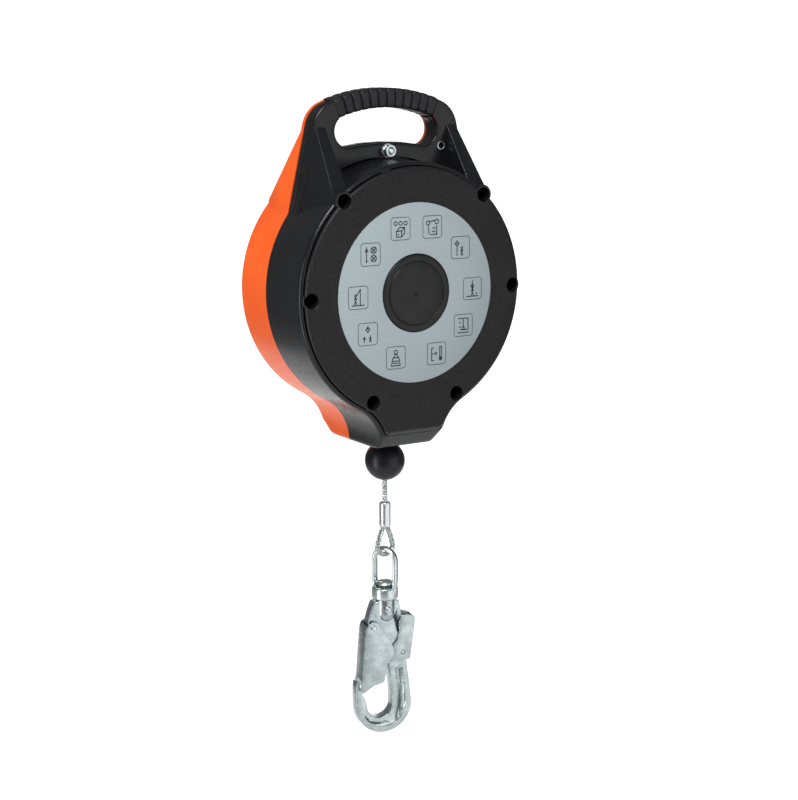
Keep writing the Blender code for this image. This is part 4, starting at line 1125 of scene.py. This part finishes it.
def hook_outline():
    outer = [(11.6, -287.0), (12.2, -294.0), (14.0, -302.0), (17.0, -312.0), (18.0, -330.0), (18.8, -345.0),
             (19.7, -355.0), (21.6, -368.0)]
    outer += arc((-3.2, -387.0), 26.8, 14, -180, 30)
    outer += [(-30.2, -376.0), (-30.0, -366.0), (-28.8, -363.0), (-27.2, -363.6)]
    inner = [(-26.2, -369.0), (-24.5, -374.7), (-20.8, -382.0)]
    inner += arc((-7.4, -387.0), 12.2, 196, 352, 18)
    inner += [(4.6, -381.0), (4.2, -373.0), (2.6, -362.0), (1.6, -350.0), (-1.0, -336.0), (-6.0, -325.0),
              (-13.0, -319.5), (-17.5, -316.5), (-19.0, -311.0), (-17.6, -303.0), (-14.8, -294.0), (-12.0, -287.0)]
    return outer + inner


def recess_outline():
    """The sunk panel on each face of the forging, following its bend."""
    outer = [(14.6, -349.5), (15.6, -358.0), (17.4, -370.0)]
    outer += arc((-3.2, -387.0), 21.6, 12, -150, 18)
    inner = arc((-7.4, -387.0), 16.4, 206, 354, 14)
    inner += [(8.9, -380.0), (8.2, -370.0), (7.0, -360.0), (6.4, -350.5)]
    return outer + inner


def gate_outline():
    return [(-19.7, -308.3), (-14.7, -305.3), (-9.7, -307.3), (-5.7, -313.3), (-1.7, -319.3), (2.3, -326.3),
            (5.3, -332.3), (6.3, -337.3), (4.3, -341.5), (0.3, -345.5), (-1.7, -349.0), (-2.7, -356.3),
            (-3.7, -363.3), (-6.7, -365.3), (-13.7, -366.3), (-19.7, -370.3), (-24.7, -373.3),
            (-27.7, -370.3), (-25.6, -362.0), (-24.6, -350.0), (-24.0, -340.0), (-23.0, -327.0), (-21.7, -312.0)]


def lever_outline():
    return [(12.9, -303.0), (18.9, -302.0), (23.9, -303.5), (26.9, -305.5), (25.2, -319.0), (23.5, -332.0),
            (21.9, -345.0), (18.9, -345.0), (14.9, -346.0), (2.9, -346.5), (1.9, -343.0), (6.9, -338.0),
            (6.0, -333.0), (4.9, -330.0), (8.9, -326.0), (10.9, -319.0), (10.9, -309.0)]


def make_hook():
    outline = rounded(hook_outline())
    body = mesh_object("hook_forging", hook_plane(soften(prism(outline, -FORGING_HALF, FORGING_HALF), 1.9, 4, 60)))
    boss = eased([(0, -286.6), (9.3, -286.6), (9.3, -301.0), (8.2, -305.0), (5.4, -308.2), (0, -309.6)], 0.9, 3)
    join(body, at(lathe(boss, 56, "Z"), hook_spot(0, 0)))
    floor = FORGING_HALF - 1.3
    cut(body, *[hook_plane(prism(rounded(recess_outline()), sign * floor, sign * (FORGING_HALF + 3)))
                for sign in (-1, 1)])
    bevel(body, 0.5, 3, 50)
    cut(body, at(cylinder(5.4, -301.0, -280.0, 48, "Z"), hook_spot(0, 0)), pin_hole(2.5, (0, BOSS_PIN_Z)),
        pin_hole(2.3, GATE_PIVOT), pin_hole(2.3, LEVER_PIVOT))
    finish(body, "hook", [ZINC, FORGED], "zinc_steel", "hook_body", 40)
    across = Vector((-sin(HOOK_TURN), cos(HOOK_TURN), 0))
    middle = Vector(hook_spot(0, 0)) * MM
    for face in body.data.polygons:
        depth = abs((face.center - middle).dot(across))
        if abs(face.normal.dot(across)) > 0.9 and abs(depth - floor * MM) < 0.0002:
            face.material_index = 1

    for name, stands_for, sizes in (("boss_pin", "boss_rivet", (9.7, 2.9, 1.0, (0, BOSS_PIN_Z), 2.2)),
                                    ("gate_rivet", "gate_pin", (GATE_INNER + SHEET + 0.3, 2.8, 0.8, GATE_PIVOT, 2.0)),
                                    ("lever_rivet", "lock_pin", (7.3, 1.9, 0.6, LEVER_PIVOT, 1.9))):
        piece(name, rivet(*sizes), "hook", SMOOTH_ZINC, "zinc_steel", stands_for)

    wide = GATE_INNER + SHEET
    gate = mesh_object("gate_plates", hook_plane(prism(rounded(rounded(gate_outline(), 0.2)), -wide, wide)))
    room = [(-21.7 + SHEET, -300.0), (20.0, -300.0), (20.0, -380.0), (-35.0, -380.0), (-35.0, -361.5),
            (-24.0, -361.5), (-23.0, -350.0), (-22.5, -340.0), (-21.5, -327.0), (-20.2, -312.0)]
    cut(gate, hook_plane(prism(room, -GATE_INNER, GATE_INNER)))
    bevel(gate, 0.4, 3, 40)
    cut(gate, pin_hole(2.3, GATE_PIVOT))
    dimple = [(0, -0.5), (0.9, -0.4), (1.5, 0.6), (0, 0.6)]
    cut(gate, *[hook_plane(lathe([(radius, sign * (wide + rise)) for radius, rise in dimple], 32), (-8.5, -338.0))
                for sign in (-1, 1)])
    finish(gate, "gate", ZINC, "zinc_steel", "gate", 40)

    wide = LEVER_INNER + SHEET
    lever = mesh_object("lever_plates", hook_plane(prism(rounded(lever_outline(), 0.14), -wide, wide)))
    room = [(-10.0, -295.0), (25.2, -295.0), (25.2, -305.0), (20.2, -346.0), (20.2, -355.0), (-10.0, -355.0)]
    cut(lever, hook_plane(prism(room, -LEVER_INNER, LEVER_INNER)))
    bevel(lever, 0.4, 3, 40)
    cut(lever, pin_hole(2.3, LEVER_PIVOT))
    finish(lever, "lock_lever", ZINC, "zinc_steel", "lock_lever", 40)


# ---------------------------------------------------------------- carried-over nodes

def dress_nodes():
    looks = [
        (ZINC, "anchor_strap frame_plate_front frame_plate_rear frame_bolt frame_spacer_front frame_spacer_rear"
               " pawl_pin_1 pawl_pin_2"),
        (DARK, "main_shaft shaft_nut spring_case spring_arbor power_spring brake_backing_plate pressure_plate"
               " disc_spring brake_nut ratchet_ring pawl_1 pawl_2"),
        (LINING, "brake_lining_front brake_lining_rear"), (DRUM, "cable_drum"),
        (BRONZE, "drum_bush_front drum_bush_rear"), (WIRE, "rope_lead_in"),
        (SMOOTH_ZINC, "gate_spring lock_spring")]
    for material, names in looks:
        for name in names.split():
            mesh = nodes[name].data
            mesh.materials.clear()
            mesh.materials.append(material)


# ---------------------------------------------------------------- stage

def make_stage():
    """A pale floor, and behind the hanging unit a sweep up into a wall that glows like a light table."""
    floor_z, sweep_radius, near, far = -1.5, 1.5, 1.6, 3.0
    ahead = Vector((sin(radians(32.28)), cos(radians(32.28)), 0))
    aside = Vector((ahead.y, -ahead.x, 0))
    line = [(near, floor_z), (far, floor_z)]
    line += [(far + sweep_radius * sin(a), floor_z + sweep_radius * (1 - cos(a)))
             for a in [pi / 2 * i / 24 for i in range(1, 25)]]
    line.append((far + sweep_radius, 0.8))
    for name, half, sheet, glow in (("floor", 3.0, [(-3.0, floor_z), (near, floor_z)], 0.3),
                                    ("backdrop", 1.8, line, 0.9)):
        mix = Recipe("pale_" + name, (0.80, 0.80, 0.80), 0.9)
        mix.colours(mix.noise(3), (0.79, 0.79, 0.79), (0.81, 0.81, 0.81))
        mix.set({"Emission Color": (1.0, 1.0, 1.0, 1.0)})
        mix.set({"Emission Strength": glow})
        shape = bmesh.new()
        rows = []
        for along, z in sheet:
            rows.append([shape.verts.new(ahead * along + aside * side + Vector((0, 0, z))) for side in (-half, half)])
        for one, two in zip(rows, rows[1:]):
            shape.faces.new((one[0], one[1], two[1], two[0]))
        mesh = bpy.data.meshes.new(name)
        shape.to_mesh(mesh)
        shape.free()
        mesh.shade_smooth()
        mesh.materials.append(mix.material)
        item = bpy.data.objects.new(name, mesh)
        bpy.context.scene.collection.objects.link(item)

    world = bpy.data.worlds.new("studio")
    world.use_nodes = True
    world.node_tree.nodes["Background"].inputs["Color"].default_value = (0.95, 0.98, 1.0, 1.0)
    world.node_tree.nodes["Background"].inputs["Strength"].default_value = 0.18
    bpy.context.scene.world = world


def area_light(name, spot, aim, size, power):
    data = bpy.data.lights.new(name, "AREA")
    data.shape = "RECTANGLE"
    data.size, data.size_y = size
    data.energy = power
    light = bpy.data.objects.new(name, data)
    light.location = spot
    light.rotation_euler = (Vector(aim) - Vector(spot)).to_track_quat("-Z", "Y").to_euler()
    bpy.context.scene.collection.objects.link(light)


def make_lights():
    middle = (0.0, 0.0, -0.22)
    area_light("key", (-0.86, -1.05, 1.35), middle, (0.8, 0.8), 34)
    area_light("side", (-1.7, -0.1, -0.45), middle, (0.35, 1.7), 12)
    area_light("front", (0.9, -2.15, -0.4), middle, (2.5, 2.0), 15)


make_camera()
make_lifeline()
make_winding()
make_shells()
make_grip()
make_label()
make_fasteners()
make_swivel()
make_hook()
dress_nodes()
make_stage()
make_lights()
